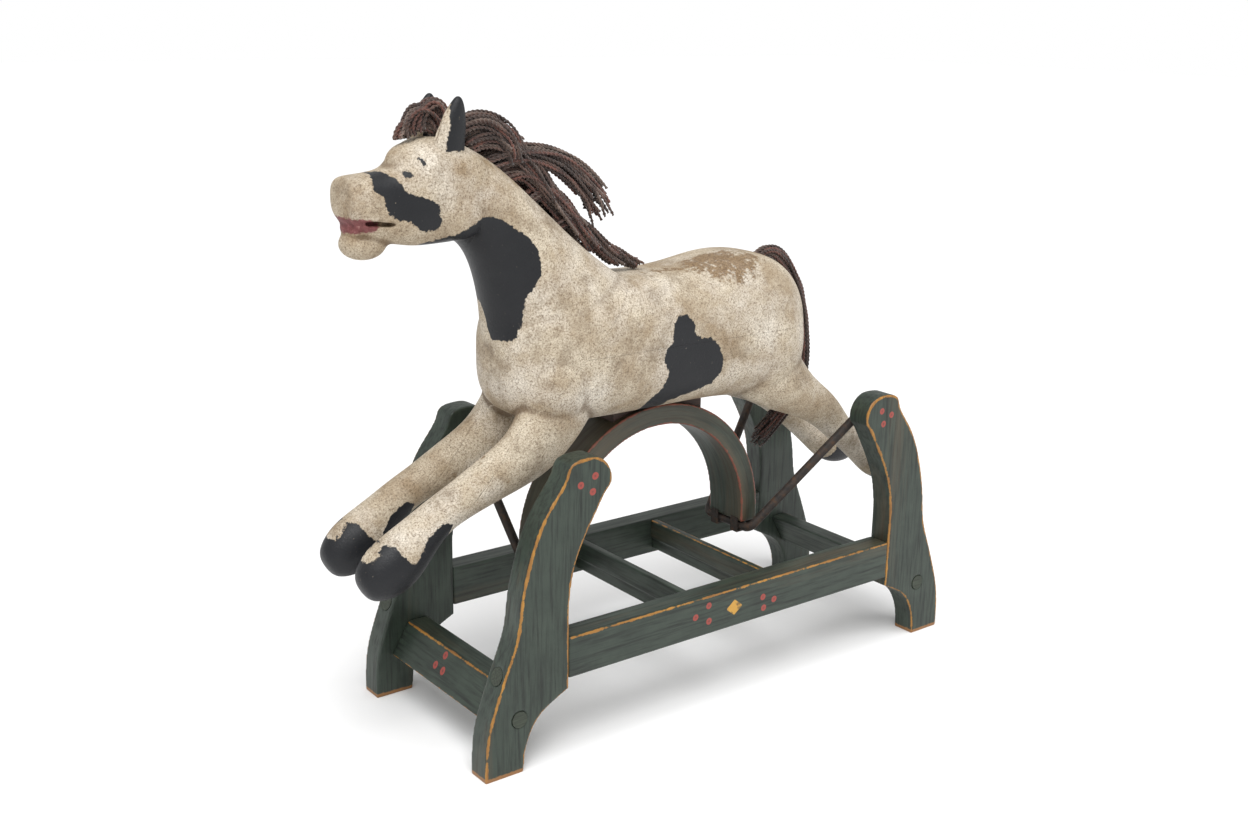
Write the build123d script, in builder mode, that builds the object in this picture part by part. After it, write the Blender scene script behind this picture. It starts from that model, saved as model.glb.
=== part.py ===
from build123d import *
import math
import os

# A carved wooden horse on a wooden hoop, hung by two iron rods in a low trestle stand.
# Millimetres. +Z is up, the horse faces -X, and the origin is on the floor under the
# middle of the whole toy. Outlines are drawn from the middle of the stand, mid_x.

mid_x = 45.55

# ---- stand ----
stand_half_length = 400.0
stand_half_width = 153.0
board = 34.0
inner_face = stand_half_width - board
post_inner_x = 280.0
post_top_z = 382.0
knob_x, knob_z, knob_r = 250.0, 350.5, 31.5
rail_bottom_z, rail_top_z = 104.6, 158.8
edge_round = 1.4
# points down the post's back, down its neck under the knob, and round the arch of its foot
post_back = [(397, 55), (384, 100), (366, 146), (354, 180), (349, 215), (336, 271), (308, 330),
             (285, 363)]
post_neck = [(225, 338), (239, 316), (253, 292), (264, 270), (273, 246), (278, 220)]
foot_arch = [(301, 81.5), (316, 73), (331, 57), (341, 36)]
neck_bottom_z, arch_top_z, foot_inner_x = 186.0, 92.0, 346.0
tenon_length, tenon_height, tenon_thick = 26.0, 34.0, 12.0

stretcher_thick = 30.0
stretcher_lean = math.radians(30.0)
slat_thick = 11.0
slat_bottom_z, slat_top_z = 113.0, 157.0
slat_step_z, slat_step = 130.0, 2.5
slat_x = (-72.0, 66.0)

plug_r, plug_depth = 10.5, 6.0
screw_r, screw_head_r, screw_head = 2.6, 5.2, 3.6
rail_screw_z = 127.0
rail_plug_x, rail_screw_length = 367.0, 122.0
clear_x = 420.0
stretcher_screws_at = {"front": (-352.0, 71.0), "rear": (350.0, 81.0)}

# ---- swing ----
rod_r = 6.25
pivot_z = 348.0
front_pivot_x, rear_pivot_x = -260.0, 255.0
front_bar_x, front_bar_z = -219.0, 184.0
rear_bar_x, rear_bar_z = 107.6, 184.0
bar_corner_y, rod_shoulder_y, rod_end_y = 45.0, 107.0, 144.0
rod_bend_r = 12.0
bush_r, bush_proud, bush_depth = 12.0, 2.0, 26.0
running_gap = 0.06

# ---- hoop ----
hoop_x, hoop_z = -51.0, 208.0
hoop_r, hoop_thick = 180.0, 28.0
hoop_half_width = 35.0
front_foot_z, rear_foot_z = 187.5, 191.6
strap_thick, strap_half_width, strap_height = 1.6, 7.0, 20.0
nail_rise, nail_head_r = 16.8, 2.0
rear_slot_z = rear_bar_z - rod_r - 1.3
front_slot_z = front_bar_z - rod_r - 0.3

# ---- horse: x, top z, bottom z, half width of the trunk ----
trunk = [
    (-292, 512, 438, 28),
    (-281, 538, 414, 48),
    (-250, 557, 397, 69),
    (-190, 568, 391, 81),
    (-120, 565, 391, 81),
    (-50, 563, 391, 79),
    (10, 569, 391, 79),
    (60, 578, 387, 81),
    (110, 577, 376, 82),
    (152, 563, 370, 77),
    (186, 535, 380, 62),
    (204, 503, 402, 43),
    (212, 478, 424, 24),
]
# x, top z, bottom z, half width of the head
head_rings = [
    (-318, 726, 634, 40),
    (-345, 740, 627, 44),
    (-372, 746, 625, 45),
    (-402, 740, 625, 42),
    (-426, 718, 616, 36),
    (-450, 710, 606, 34),
    (-474, 706, 610, 32),
    (-487, 696, 622, 25),
    (-492, 684, 638, 14),
]
# crest x, crest z, throat x, throat z, half width of the neck
neck_rings = [
    (-98, 548, -288, 442, 78),
    (-128, 572, -298, 488, 72),
    (-190, 618, -301, 545, 54),
    (-240, 666, -320, 600, 44),
    (-290, 713, -344, 634, 41),
    (-336, 740, -370, 630, 41),
]
neck_seat = ((-120.0, 563.0), (-295.0, 478.0))
head_seat_x = -332.0
body_split_z = 478.0
hollow_x = (-126.0, 196.0)
wall = 15.0

# centre x, y, z, half depth in side view, half width, for the left legs
front_leg = [
    (-205, 40, 452, 52, 32),
    (-228, 42, 403, 48, 31),
    (-264, 45, 365, 38, 28),
    (-328, 46, 337, 27, 25),
    (-390, 46, 314, 23, 23),
    (-428, 46, 289, 29, 26),
    (-459, 46, 259, 36, 31),
    (-481, 46, 246, 30, 27),
    (-499, 46, 237, 17, 15),
]
hind_leg = [
    (92, 42, 446, 60, 30),
    (130, 47, 410, 52, 29),
    (172, 50, 380, 37, 26),
    (214, 51, 360, 31, 23),
    (262, 51, 314, 24, 21),
    (312, 51, 268, 22, 20),
    (350, 50, 243, 27, 24),
    (385, 50, 231, 22, 22),
    (408, 50, 224, 12, 14),
]
ear = [(-358, 27, 728, 14, 10), (-357, 29, 744, 15, 10), (-355, 31, 762, 14, 9),
       (-353, 32, 780, 8, 6), (-352, 32, 791, 2.5, 2.5)]
tail_line = [(154, 572), (186, 570), (212, 546), (230, 504), (238, 456), (238, 402),
             (222, 356), (186, 316), (150, 286)]
tail_half, tail_half_y = 12.0, 17.0
mane_near_y, mane_far_y = -15.0, 30.0

belly_z = 391.0
packing_half_y = 26.0
packing_spans = {"front": (-122.0, -78.0), "rear": (-22.0, 26.0)}
hoop_screw_x = (-98.0, -4.0)
dowel_r, dowel_length, dowel_y = 6.0, 24.0, 56.0
dowel_spots = [(-226.0, 420.0), (-202.0, 446.0), (104.0, 430.0), (138.0, 412.0)]

floor = Plane((mid_x, 0, 0))
side = Plane(origin=(mid_x, 0, 0), x_dir=(1, 0, 0), z_dir=(0, -1, 0))
end_on = Plane(origin=(mid_x, 0, 0), x_dir=(0, 1, 0), z_dir=(1, 0, 0))
hands = {"left": 1, "right": -1}


def save(piece, node):
    piece.part.label = node
    export_step(piece.part, f"parts/{node}.step")


def swing_path(pivot_x, bar_x, bar_z):
    """The bent rod's centre line: pivot, leg, crossbar, leg, pivot."""
    return [(mid_x + pivot_x, -rod_end_y, pivot_z), (mid_x + pivot_x, -rod_shoulder_y, pivot_z),
            (mid_x + bar_x, -bar_corner_y, bar_z), (mid_x + bar_x, bar_corner_y, bar_z),
            (mid_x + pivot_x, rod_shoulder_y, pivot_z), (mid_x + pivot_x, rod_end_y, pivot_z)]


def post_outline(end):
    """One post's edge, end is -1 at the front and 1 at the rear."""
    knob_left = (end * (knob_x - knob_r), knob_z)
    corner = knob_r * math.sqrt(0.5)
    Line((end * foot_inner_x, 0), (end * stand_half_length, 0))
    Spline((end * stand_half_length, 0), *[(end * x, z) for x, z in post_back],
           (end * knob_x, post_top_z), tangents=((0, 1), (-end, 0)))
    ThreePointArc((end * knob_x, post_top_z), (end * (knob_x - corner), knob_z + corner),
                  knob_left)
    Spline(knob_left, *[(end * x, z) for x, z in post_neck],
           (end * post_inner_x, neck_bottom_z), tangents=((0, -1), (0, -1)))
    Line((end * post_inner_x, neck_bottom_z), (end * post_inner_x, arch_top_z))
    Spline((end * post_inner_x, arch_top_z), *[(end * x, z) for x, z in foot_arch],
           (end * foot_inner_x, 0), tangents=((end, -0.45), (end * 0.05, -1)))


def ring_plane(x, y, z, along):
    """A plane across a limb at a point, facing along it, with local Y level."""
    facing = Vector(*along).normalized()
    return Plane(origin=(mid_x + x, y, z), x_dir=Vector(0, 1, 0).cross(facing), z_dir=facing)


def limb(rings, hand):
    """Loft a leg, an ear or a tail through elliptical rings."""
    sections = []
    for i, (x, y, z, deep, wide) in enumerate(rings):
        before, after = rings[max(i - 1, 0)], rings[min(i + 1, len(rings) - 1)]
        along = (after[0] - before[0], 0, after[2] - before[2])
        with BuildSketch(ring_plane(x, -hand * y, z, along)) as ring:
            Ellipse(deep, wide)
        sections.append(ring.sketch)
    loft(sections)


os.makedirs("parts", exist_ok=True)

# ---- stand: posts, rails, stretchers and slats ----
rail_mid_z = (rail_bottom_z + rail_top_z) / 2


def stretcher_outline(at):
    """The leaning board between two posts, drawn in side view."""
    if at == "front":
        top_x, top_z, height = -351.5, 100.4, 43.4
    else:
        top_x, top_z, height = 307.0, 113.0, 47.0
    run = math.tan(stretcher_lean) * height * (-1 if at == "front" else 1)
    Polyline((top_x, top_z), (top_x + stretcher_thick, top_z),
             (top_x + stretcher_thick + run, top_z - height), (top_x + run, top_z - height),
             close=True)


for hand_name, hand in hands.items():
    outer = side.offset(hand * stand_half_width)
    for end_name, end in {"front": -1, "rear": 1}.items():
        with BuildPart() as post:
            with BuildSketch(outer):
                with BuildLine():
                    post_outline(end)
                make_face()
            extrude(amount=-hand * board)
            rims = post.faces().filter_by(Axis.Y).edges()
            fillet(rims.filter_by(lambda edge: edge.center().Z > arch_top_z), edge_round)
            with Locations(floor.offset(rail_mid_z).location
                           * Location((end * (post_inner_x + tenon_length / 2),
                                       -hand * (stand_half_width - board / 2), 0))):
                Box(tenon_length + 1, tenon_thick, tenon_height, mode=Mode.SUBTRACT)
            with BuildSketch(side.offset(hand * stand_half_width)):
                with Locations(stretcher_screws_at[end_name]):
                    Circle(plug_r)
            extrude(amount=-hand * plug_depth, mode=Mode.SUBTRACT)
            with BuildSketch(side.offset(hand * stand_half_width)):
                with Locations(stretcher_screws_at[end_name]):
                    Circle(screw_head_r + running_gap)
            extrude(amount=-hand * (plug_depth + screw_head), mode=Mode.SUBTRACT)
            with BuildSketch(side.offset(hand * stand_half_width)):
                with Locations(stretcher_screws_at[end_name]):
                    Circle(screw_r)
            extrude(amount=-hand * board, mode=Mode.SUBTRACT)
            with BuildSketch(side.offset(hand * inner_face)):
                with Locations((front_pivot_x if end < 0 else rear_pivot_x, pivot_z)):
                    Circle(bush_r)
            extrude(amount=hand * bush_depth, mode=Mode.SUBTRACT)
            rail_line_y = -hand * (stand_half_width - board / 2)
            with BuildSketch(end_on.offset(end * clear_x)):
                with Locations((rail_line_y, rail_screw_z)):
                    Circle(plug_r)
            extrude(amount=-end * (clear_x - rail_plug_x), mode=Mode.SUBTRACT)
            with BuildSketch(end_on.offset(end * clear_x)):
                with Locations((rail_line_y, rail_screw_z)):
                    Circle(screw_r)
            extrude(amount=-end * (clear_x - post_inner_x + 10), mode=Mode.SUBTRACT)
        save(post, f"post_{end_name}_{hand_name}")

    with BuildPart() as rail:
        with BuildSketch(end_on.offset(-post_inner_x)):
            with Locations((-hand * (stand_half_width - board / 2), rail_mid_z)):
                Rectangle(board, rail_top_z - rail_bottom_z)
        extrude(amount=2 * post_inner_x)
        fillet(rail.edges().filter_by(Axis.X), edge_round)
        with Locations(floor.offset(rail_mid_z).location
                       * Location((0, -hand * (stand_half_width - board / 2), 0))):
            Box(2 * (post_inner_x + tenon_length), tenon_thick, tenon_height)
        for end in (-1, 1):
            with BuildSketch(end_on.offset(end * (post_inner_x + 40))):
                with Locations((-hand * (stand_half_width - board / 2), rail_screw_z)):
                    Circle(screw_r)
            extrude(amount=-end * 80, mode=Mode.SUBTRACT)
    save(rail, f"rail_{hand_name}")

for end_name in ("front", "rear"):
    with BuildPart() as stretcher:
        with BuildSketch(side.offset(-inner_face)):
            with BuildLine():
                stretcher_outline(end_name)
            make_face()
        extrude(amount=2 * inner_face)
        chamfer(stretcher.edges().filter_by(Axis.Y), 1.2)
        for hand in (-1, 1):
            with BuildSketch(side.offset(hand * inner_face)):
                with Locations(stretcher_screws_at[end_name]):
                    Circle(screw_r)
            extrude(amount=-hand * 34, mode=Mode.SUBTRACT)
    save(stretcher, f"stretcher_{end_name}")

for end_name, x in zip(("front", "rear"), slat_x):
    with BuildPart() as slat:
        with BuildSketch(side.offset(-inner_face)):
            with BuildLine():
                front = x - slat_thick / 2
                Polyline((front, slat_top_z), (front + slat_thick, slat_top_z),
                         (front + slat_thick, slat_bottom_z),
                         (front + slat_step, slat_bottom_z), (front + slat_step, slat_step_z),
                         (front, slat_step_z), close=True)
            make_face()
        extrude(amount=2 * inner_face)
        chamfer(slat.edges().filter_by(Axis.Y).group_by(Axis.Z)[-1], 1.2)
    save(slat, f"slat_{end_name}")

# ---- stand: plugs, screws and the bushes that the irons turn in ----
with BuildPart() as stretcher_plugs:
    for hand in (-1, 1):
        with BuildSketch(side.offset(hand * (stand_half_width - plug_depth))):
            with Locations(*stretcher_screws_at.values()):
                Circle(plug_r - running_gap)
        extrude(amount=hand * (plug_depth + 0.4))
save(stretcher_plugs, "stretcher_plugs")

with BuildPart() as stretcher_screws:
    for hand in (-1, 1):
        with BuildSketch(side.offset(hand * (stand_half_width - plug_depth))):
            with Locations(*stretcher_screws_at.values()):
                Circle(screw_head_r)
        extrude(amount=-hand * screw_head)
        with BuildSketch(side.offset(hand * (stand_half_width - plug_depth - 1))):
            with Locations(*stretcher_screws_at.values()):
                Circle(screw_r - running_gap)
        extrude(amount=-hand * 56)
save(stretcher_screws, "stretcher_screws")

rail_line = stand_half_width - board / 2
rail_screws_at = [(rail_line, rail_screw_z), (-rail_line, rail_screw_z)]
with BuildPart() as rail_plugs:
    for end in (-1, 1):
        with BuildSketch(end_on.offset(end * rail_plug_x)):
            with Locations(*rail_screws_at):
                Circle(plug_r - running_gap)
        extrude(amount=end * (clear_x - rail_plug_x))
    # trimmed flush with the back of the posts
    with BuildSketch(side.offset(-stand_half_width)):
        for end in (-1, 1):
            with BuildLine():
                post_outline(end)
            make_face()
    extrude(amount=2 * stand_half_width, mode=Mode.INTERSECT)
save(rail_plugs, "rail_plugs")

with BuildPart() as rail_screws:
    for end in (-1, 1):
        with BuildSketch(end_on.offset(end * (rail_plug_x - 0.1))):
            with Locations(*rail_screws_at):
                Circle(screw_r - running_gap)
        extrude(amount=-end * rail_screw_length)
save(rail_screws, "rail_screws")

with BuildPart() as pivot_bushes:
    for hand in (-1, 1):
        start = inner_face + bush_depth
        with BuildSketch(side.offset(hand * start)):
            with Locations((front_pivot_x, pivot_z), (rear_pivot_x, pivot_z)):
                Circle(bush_r - running_gap)
        extrude(amount=-hand * (bush_depth + bush_proud))
        with BuildSketch(side.offset(hand * (rod_end_y + 0.5))):
            with Locations((front_pivot_x, pivot_z), (rear_pivot_x, pivot_z)):
                Circle(rod_r + running_gap)
        extrude(amount=-hand * 60, mode=Mode.SUBTRACT)
save(pivot_bushes, "pivot_bushes")

# ---- the two bent iron rods ----
for name, pivot_x, bar_x, bar_z in (("front", front_pivot_x, front_bar_x, front_bar_z),
                                    ("rear", rear_pivot_x, rear_bar_x, rear_bar_z)):
    path_points = swing_path(pivot_x, bar_x, bar_z)
    with BuildPart() as iron:
        with BuildLine():
            FilletPolyline(*path_points, radius=rod_bend_r)
        with BuildSketch(Plane(origin=path_points[0], z_dir=(0, 1, 0))):
            Circle(rod_r)
        sweep()
    save(iron, f"swing_iron_{name}")

# ---- hoop, its straps and the packing blocks under the belly ----
front_foot_x = hoop_x - hoop_r + hoop_thick / 2
rear_foot_x = hoop_x + hoop_r - hoop_thick / 2
with BuildPart() as hoop:
    with BuildSketch(side.offset(-hoop_half_width)):
        with BuildLine():
            inside = hoop_r - hoop_thick
            ThreePointArc((hoop_x - hoop_r, hoop_z), (hoop_x, hoop_z + hoop_r),
                          (hoop_x + hoop_r, hoop_z))
            Polyline((hoop_x + hoop_r, hoop_z), (hoop_x + hoop_r, rear_foot_z),
                     (hoop_x + inside, rear_foot_z), (hoop_x + inside, hoop_z))
            ThreePointArc((hoop_x + inside, hoop_z), (hoop_x, hoop_z + inside),
                          (hoop_x - inside, hoop_z))
            Polyline((hoop_x - inside, hoop_z), (hoop_x - inside, front_foot_z),
                     (hoop_x - hoop_r, front_foot_z), (hoop_x - hoop_r, hoop_z))
        make_face()
    extrude(amount=2 * hoop_half_width)
    with BuildSketch(side.offset(-hoop_half_width - 1)):
        with Locations((front_bar_x, front_bar_z)):
            Circle(rod_r + 0.3)
    extrude(amount=2 * hoop_half_width + 2, mode=Mode.SUBTRACT)
    for x in hoop_screw_x:
        under = hoop_z + math.sqrt((hoop_r - hoop_thick) ** 2 - (x - hoop_x) ** 2)
        with Locations((mid_x + x, -16, under + 28), (mid_x + x, 16, under + 28)):
            Cylinder(screw_r, 60, mode=Mode.SUBTRACT)
        with Locations((mid_x + x, -16, under - 1), (mid_x + x, 16, under - 1)):
            Cylinder(screw_head_r, 10, mode=Mode.SUBTRACT)
save(hoop, "hoop")

for end_name, foot_x, slot_z in (("front", front_foot_x, front_slot_z),
                                 ("rear", rear_foot_x, rear_slot_z)):
    half = hoop_thick / 2
    with BuildPart() as strap:
        for y in (-21, 21):
            with BuildSketch(side.offset(-y - strap_half_width)):
                with BuildLine():
                    Polyline((foot_x - half - 0.05, slot_z + strap_height),
                             (foot_x - half - 0.05, slot_z), (foot_x + half + 0.05, slot_z),
                             (foot_x + half + 0.05, slot_z + strap_height),
                             (foot_x + half + strap_thick, slot_z + strap_height),
                             (foot_x + half + strap_thick, slot_z - strap_thick),
                             (foot_x - half - strap_thick, slot_z - strap_thick),
                             (foot_x - half - strap_thick, slot_z + strap_height), close=True)
                make_face()
            extrude(amount=2 * strap_half_width)
    save(strap, f"strap_{end_name}")

with BuildPart() as strap_nails:
    for foot_x, slot_z in ((front_foot_x, front_slot_z), (rear_foot_x, rear_slot_z)):
        for end in (-1, 1):
            outside = foot_x + end * (hoop_thick / 2 + strap_thick)
            with BuildSketch(end_on.offset(outside)):
                with Locations((-21, slot_z + nail_rise), (21, slot_z + nail_rise)):
                    Circle(nail_head_r)
            extrude(amount=end * 1.0)
save(strap_nails, "strap_nails")

# ---- horse: the carved forms, before they are cut apart at their glue joints ----
with BuildPart() as trunk_form:
    for x, top, bottom, half_width in trunk:
        with BuildSketch(end_on.offset(x)):
            with Locations((0, (top + bottom) / 2)):
                RectangleRounded(2 * half_width, top - bottom,
                                 0.7 * min(half_width, (top - bottom) / 2))
    loft()

with BuildPart() as neck_form:
    for crest_x, crest_z, throat_x, throat_z, half_width in neck_rings:
        across = Vector(crest_x - throat_x, 0, crest_z - throat_z)
        middle = Vector(mid_x + (crest_x + throat_x) / 2, 0, (crest_z + throat_z) / 2)
        ring = Plane(origin=middle, x_dir=across, z_dir=across.cross(Vector(0, -1, 0)))
        with BuildSketch(ring):
            Ellipse(across.length / 2, half_width)
    loft()

with BuildPart() as head_form:
    for x, top, bottom, half_width in head_rings:
        with BuildSketch(end_on.offset(x)):
            with Locations((0, (top + bottom) / 2)):
                RectangleRounded(2 * half_width, top - bottom,
                                 0.8 * min(half_width, (top - bottom) / 2))
    loft()

(seat_rear_x, seat_rear_z), (seat_front_x, seat_front_z) = neck_seat
seat_run = Vector(seat_front_x - seat_rear_x, 0, seat_front_z - seat_rear_z)
neck_plane = Plane(origin=(mid_x + seat_rear_x, 0, seat_rear_z), x_dir=seat_run,
                   z_dir=Vector(0, 1, 0).cross(seat_run))
head_plane = Plane(origin=(mid_x + head_seat_x, 0, 0), z_dir=(-1, 0, 0))
split_plane = Plane((mid_x, 0, body_split_z))

with BuildPart() as hollow_form:
    for x, top, bottom, half_width in trunk:
        if hollow_x[0] < x < hollow_x[1]:
            with BuildSketch(end_on.offset(x)):
                with Locations((0, (top + bottom) / 2)):
                    RectangleRounded(2 * (half_width - wall), top - bottom - 2 * wall,
                                     0.7 * (half_width - wall))
    loft()

dowels = [Pos(mid_x + x, hand * dowel_y, z) * Rot(90, 0, 0) * Cylinder(dowel_r, dowel_length)
          for hand in (-1, 1) for x, z in dowel_spots]
screws = [Pos(mid_x + x, y, hoop_z + math.sqrt((hoop_r - hoop_thick) ** 2 - (x - hoop_x) ** 2) + 2)
          * (Pos(0, 0, 28) * Cylinder(screw_r, 56) + Cylinder(screw_head_r, 4))
          for x in hoop_screw_x for y in (-16, 16)]
body_core = split(trunk_form.part - hollow_form.part - dowels - screws,
                  bisect_by=neck_plane, keep=Keep.BOTTOM)

with BuildPart() as body_upper:
    add(split(body_core, bisect_by=split_plane, keep=Keep.TOP))
save(body_upper, "body_upper_block")

with BuildPart() as body_lower:
    add(split(body_core, bisect_by=split_plane, keep=Keep.BOTTOM))
save(body_lower, "body_lower_block")

with BuildPart() as neck:
    add(split(neck_form.part, bisect_by=neck_plane, keep=Keep.TOP))
    split(bisect_by=head_plane, keep=Keep.BOTTOM)
save(neck, "neck_block")

with BuildPart() as head:
    add(split(head_form.part, bisect_by=head_plane, keep=Keep.TOP))
save(head, "head_block")

for hand_name, hand in hands.items():
    with BuildPart() as ear_piece:
        limb(ear, hand)
        add(head.part, mode=Mode.SUBTRACT)
    save(ear_piece, f"ear_{hand_name}")
    for node, rings in (("leg_front", front_leg), ("leg_hind", hind_leg)):
        with BuildPart() as leg:
            limb(rings, hand)
            add(trunk_form.part, mode=Mode.SUBTRACT)
            add(dowels, mode=Mode.SUBTRACT)
        save(leg, f"{node}_{hand_name}")

# ---- packing blocks between the hoop and the belly ----
with BuildPart() as hoop_round:
    with BuildSketch(side.offset(-60)):
        with Locations((hoop_x, hoop_z)):
            Circle(hoop_r + 0.05)
    extrude(amount=120)
for end_name, (x_from, x_to) in packing_spans.items():
    with BuildPart() as packing:
        with Locations((mid_x + (x_from + x_to) / 2, 0, belly_z - 8)):
            Box(x_to - x_from, 2 * packing_half_y, 40)
        add(hoop_round.part, mode=Mode.SUBTRACT)
        add(trunk_form.part, mode=Mode.SUBTRACT)
        add(screws, mode=Mode.SUBTRACT)
    save(packing, f"packing_block_{end_name}")

with BuildPart() as hoop_screws:
    add(screws)
save(hoop_screws, "hoop_screws")

with BuildPart() as leg_dowels:
    for hand in (-1, 1):
        for x, z in dowel_spots:
            with Locations((mid_x + x, hand * dowel_y, z)):
                Cylinder(dowel_r - running_gap, dowel_length - 0.2, rotation=(90, 0, 0))
save(leg_dowels, "leg_dowels")

# ---- yarn: forelock, mane and tail as plain solids ----
with BuildPart() as mane:
    with BuildSketch(side.offset(mane_near_y * -1)):
        with BuildLine():
            crest = [(-331, 744), (-290, 716), (-240, 670.5), (-190, 625), (-128, 579), (-84, 568)]
            Spline(*crest)
            Polyline(crest[-1], (-76, 572), (-112, 668))
            Spline((-112, 668), (-160, 712), (-245, 738), (-282, 768), (-324, 774))
            Line((-324, 774), crest[0])
        make_face()
    extrude(amount=mane_near_y - mane_far_y)
save(mane, "mane")

with BuildPart() as forelock:
    with BuildSketch(side.offset(-13)):
        with BuildLine():
            Polyline((-411, 745), (-411, 754), (-390, 790), (-352, 797), (-347, 762),
                     (-362, 753), (-390, 751), close=True)
        make_face()
    extrude(amount=26)
save(forelock, "forelock")

with BuildPart() as tail:
    limb([(x, 0, z, tail_half, tail_half_y) for x, z in tail_line], 1)
    add(trunk_form.part, mode=Mode.SUBTRACT)
save(tail, "tail")
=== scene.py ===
import math
import random

import bmesh
import bpy
import numpy as np
from bpy.props import FloatProperty, FloatVectorProperty, IntProperty, PointerProperty
from mathutils import Euler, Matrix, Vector, kdtree


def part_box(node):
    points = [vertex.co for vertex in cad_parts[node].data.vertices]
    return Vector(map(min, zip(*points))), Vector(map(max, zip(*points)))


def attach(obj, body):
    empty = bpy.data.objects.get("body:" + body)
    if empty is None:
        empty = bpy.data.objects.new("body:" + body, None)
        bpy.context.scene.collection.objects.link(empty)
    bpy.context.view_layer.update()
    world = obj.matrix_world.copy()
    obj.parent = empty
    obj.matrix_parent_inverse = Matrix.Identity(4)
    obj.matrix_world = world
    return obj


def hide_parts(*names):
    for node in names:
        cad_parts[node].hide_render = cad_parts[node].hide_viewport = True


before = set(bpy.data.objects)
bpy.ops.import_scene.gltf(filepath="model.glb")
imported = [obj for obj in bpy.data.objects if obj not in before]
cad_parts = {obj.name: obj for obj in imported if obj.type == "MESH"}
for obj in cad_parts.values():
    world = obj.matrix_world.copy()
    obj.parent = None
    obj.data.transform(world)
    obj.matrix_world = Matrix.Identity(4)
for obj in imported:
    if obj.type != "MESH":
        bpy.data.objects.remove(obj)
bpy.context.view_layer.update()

bl_info = {
    "name": "Carved Rocking Horse",
    "version": (1, 0, 0),
    "blender": (4, 5, 0),
    "location": "3D View > Sidebar > Rocking Horse",
    "description": "Carved and painted horse with a yarn mane, swinging in a painted stand",
    "category": "Add Mesh",
}

# The middle of the stand along its length. Every size below is in millimetres, and every
# x is measured from here, -x towards the horse's nose and -y towards its left side.
RAIL_LOW, RAIL_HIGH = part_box("rail_left")
MIDDLE = (RAIL_LOW.x + RAIL_HIGH.x) / 2
STAND_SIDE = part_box("post_front_right")[1].y * 1000
# stands for no edge, mark or paint near by
FAR_OFF = 99.0


def linear(hex_colour):
    """An sRGB hex colour as linear RGBA."""
    parts = [int(hex_colour[i:i + 2], 16) / 255 for i in (1, 3, 5)]
    return tuple(c / 12.92 if c <= 0.04045 else ((c + 0.055) / 1.055) ** 2.4
                 for c in parts) + (1.0,)


def at(x, y, z):
    """A point in metres in the row frame, from millimetres off the stand's middle."""
    return Vector((x / 1000 + MIDDLE, y / 1000, z / 1000))


# ---------------------------------------------------------------- settings


class HorseSettings(bpy.types.PropertyGroup):
    grain: FloatProperty(name="Carving detail",
                         description="Spacing of the carved surface's points",
                         default=0.0021, min=0.001, max=0.01, unit="LENGTH")
    softening: IntProperty(name="Softening", description="Sanding passes over the joined forms",
                           default=14, min=0, max=60)
    cream: FloatVectorProperty(name="Cream", description="Oldest coat of cream paint",
                               subtype="COLOR", size=4, default=linear("#cfc3ae"))
    tan: FloatVectorProperty(name="Tan", description="Yellowed varnish in the cream",
                             subtype="COLOR", size=4, default=linear("#a08d73"))
    black: FloatVectorProperty(name="Black", description="Paint of the patches and hooves",
                               subtype="COLOR", size=4, default=linear("#141518"))


class StandSettings(bpy.types.PropertyGroup):
    green: FloatVectorProperty(name="Green", description="Dark green oil paint",
                               subtype="COLOR", size=4, default=linear("#28332a"))
    ochre: FloatVectorProperty(name="Ochre", description="Striping and the diamond",
                               subtype="COLOR", size=4, default=linear("#b9822f"))
    red: FloatVectorProperty(name="Red", description="Painted dots",
                             subtype="COLOR", size=4, default=linear("#9c3f36"))
    stripe: FloatProperty(name="Stripe", description="Width of the ochre line on the edges",
                          default=0.0019, min=0.0, max=0.02, unit="LENGTH")


class YarnSettings(bpy.types.PropertyGroup):
    radius: FloatProperty(name="Strand radius", description="Half the thickness of one yarn",
                          default=0.0023, min=0.0005, max=0.01, unit="LENGTH")
    pitch: FloatProperty(name="Twist", description="Length of one turn of the plies",
                         default=0.012, min=0.002, max=0.05, unit="LENGTH")
    seed: IntProperty(name="Seed", description="Start of the yarn's random spread",
                      default=7, min=0, max=9999)


# ---------------------------------------------------------------- shared steps


def nothing_selected():
    if bpy.context.object is not None and bpy.context.object.mode != "OBJECT":
        bpy.ops.object.mode_set(mode="OBJECT")
    bpy.ops.object.select_all(action="DESELECT")


def only(obj):
    nothing_selected()
    obj.select_set(True)
    bpy.context.view_layer.objects.active = obj


def apply_modifier(obj, kind, **settings):
    only(obj)
    modifier = obj.modifiers.new(kind.title(), kind)
    for key, value in settings.items():
        setattr(modifier, key, value)
    bpy.ops.object.modifier_apply(modifier=modifier.name)


def joined(pieces, name):
    nothing_selected()
    for piece in pieces:
        piece.select_set(True)
    bpy.context.view_layer.objects.active = pieces[0]
    bpy.ops.object.join()
    pieces[0].name = name
    return pieces[0]


def copy_of(obj, name):
    copy = bpy.data.objects.new(name, obj.data.copy())
    bpy.context.scene.collection.objects.link(copy)
    return copy


def points_of(mesh):
    co = np.empty(len(mesh.vertices) * 3, np.float32)
    mesh.vertices.foreach_get("co", co)
    return co.reshape(-1, 3).astype(float)


def to_mm(co):
    """Row-frame metres as millimetres off the stand's middle."""
    return (co - np.array([MIDDLE, 0, 0])) * 1000


def store(mesh, name, values):
    layer = mesh.attributes.get(name) or mesh.attributes.new(name, "FLOAT", "POINT")
    layer.data.foreach_set("value", np.asarray(values, np.float32))


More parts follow.
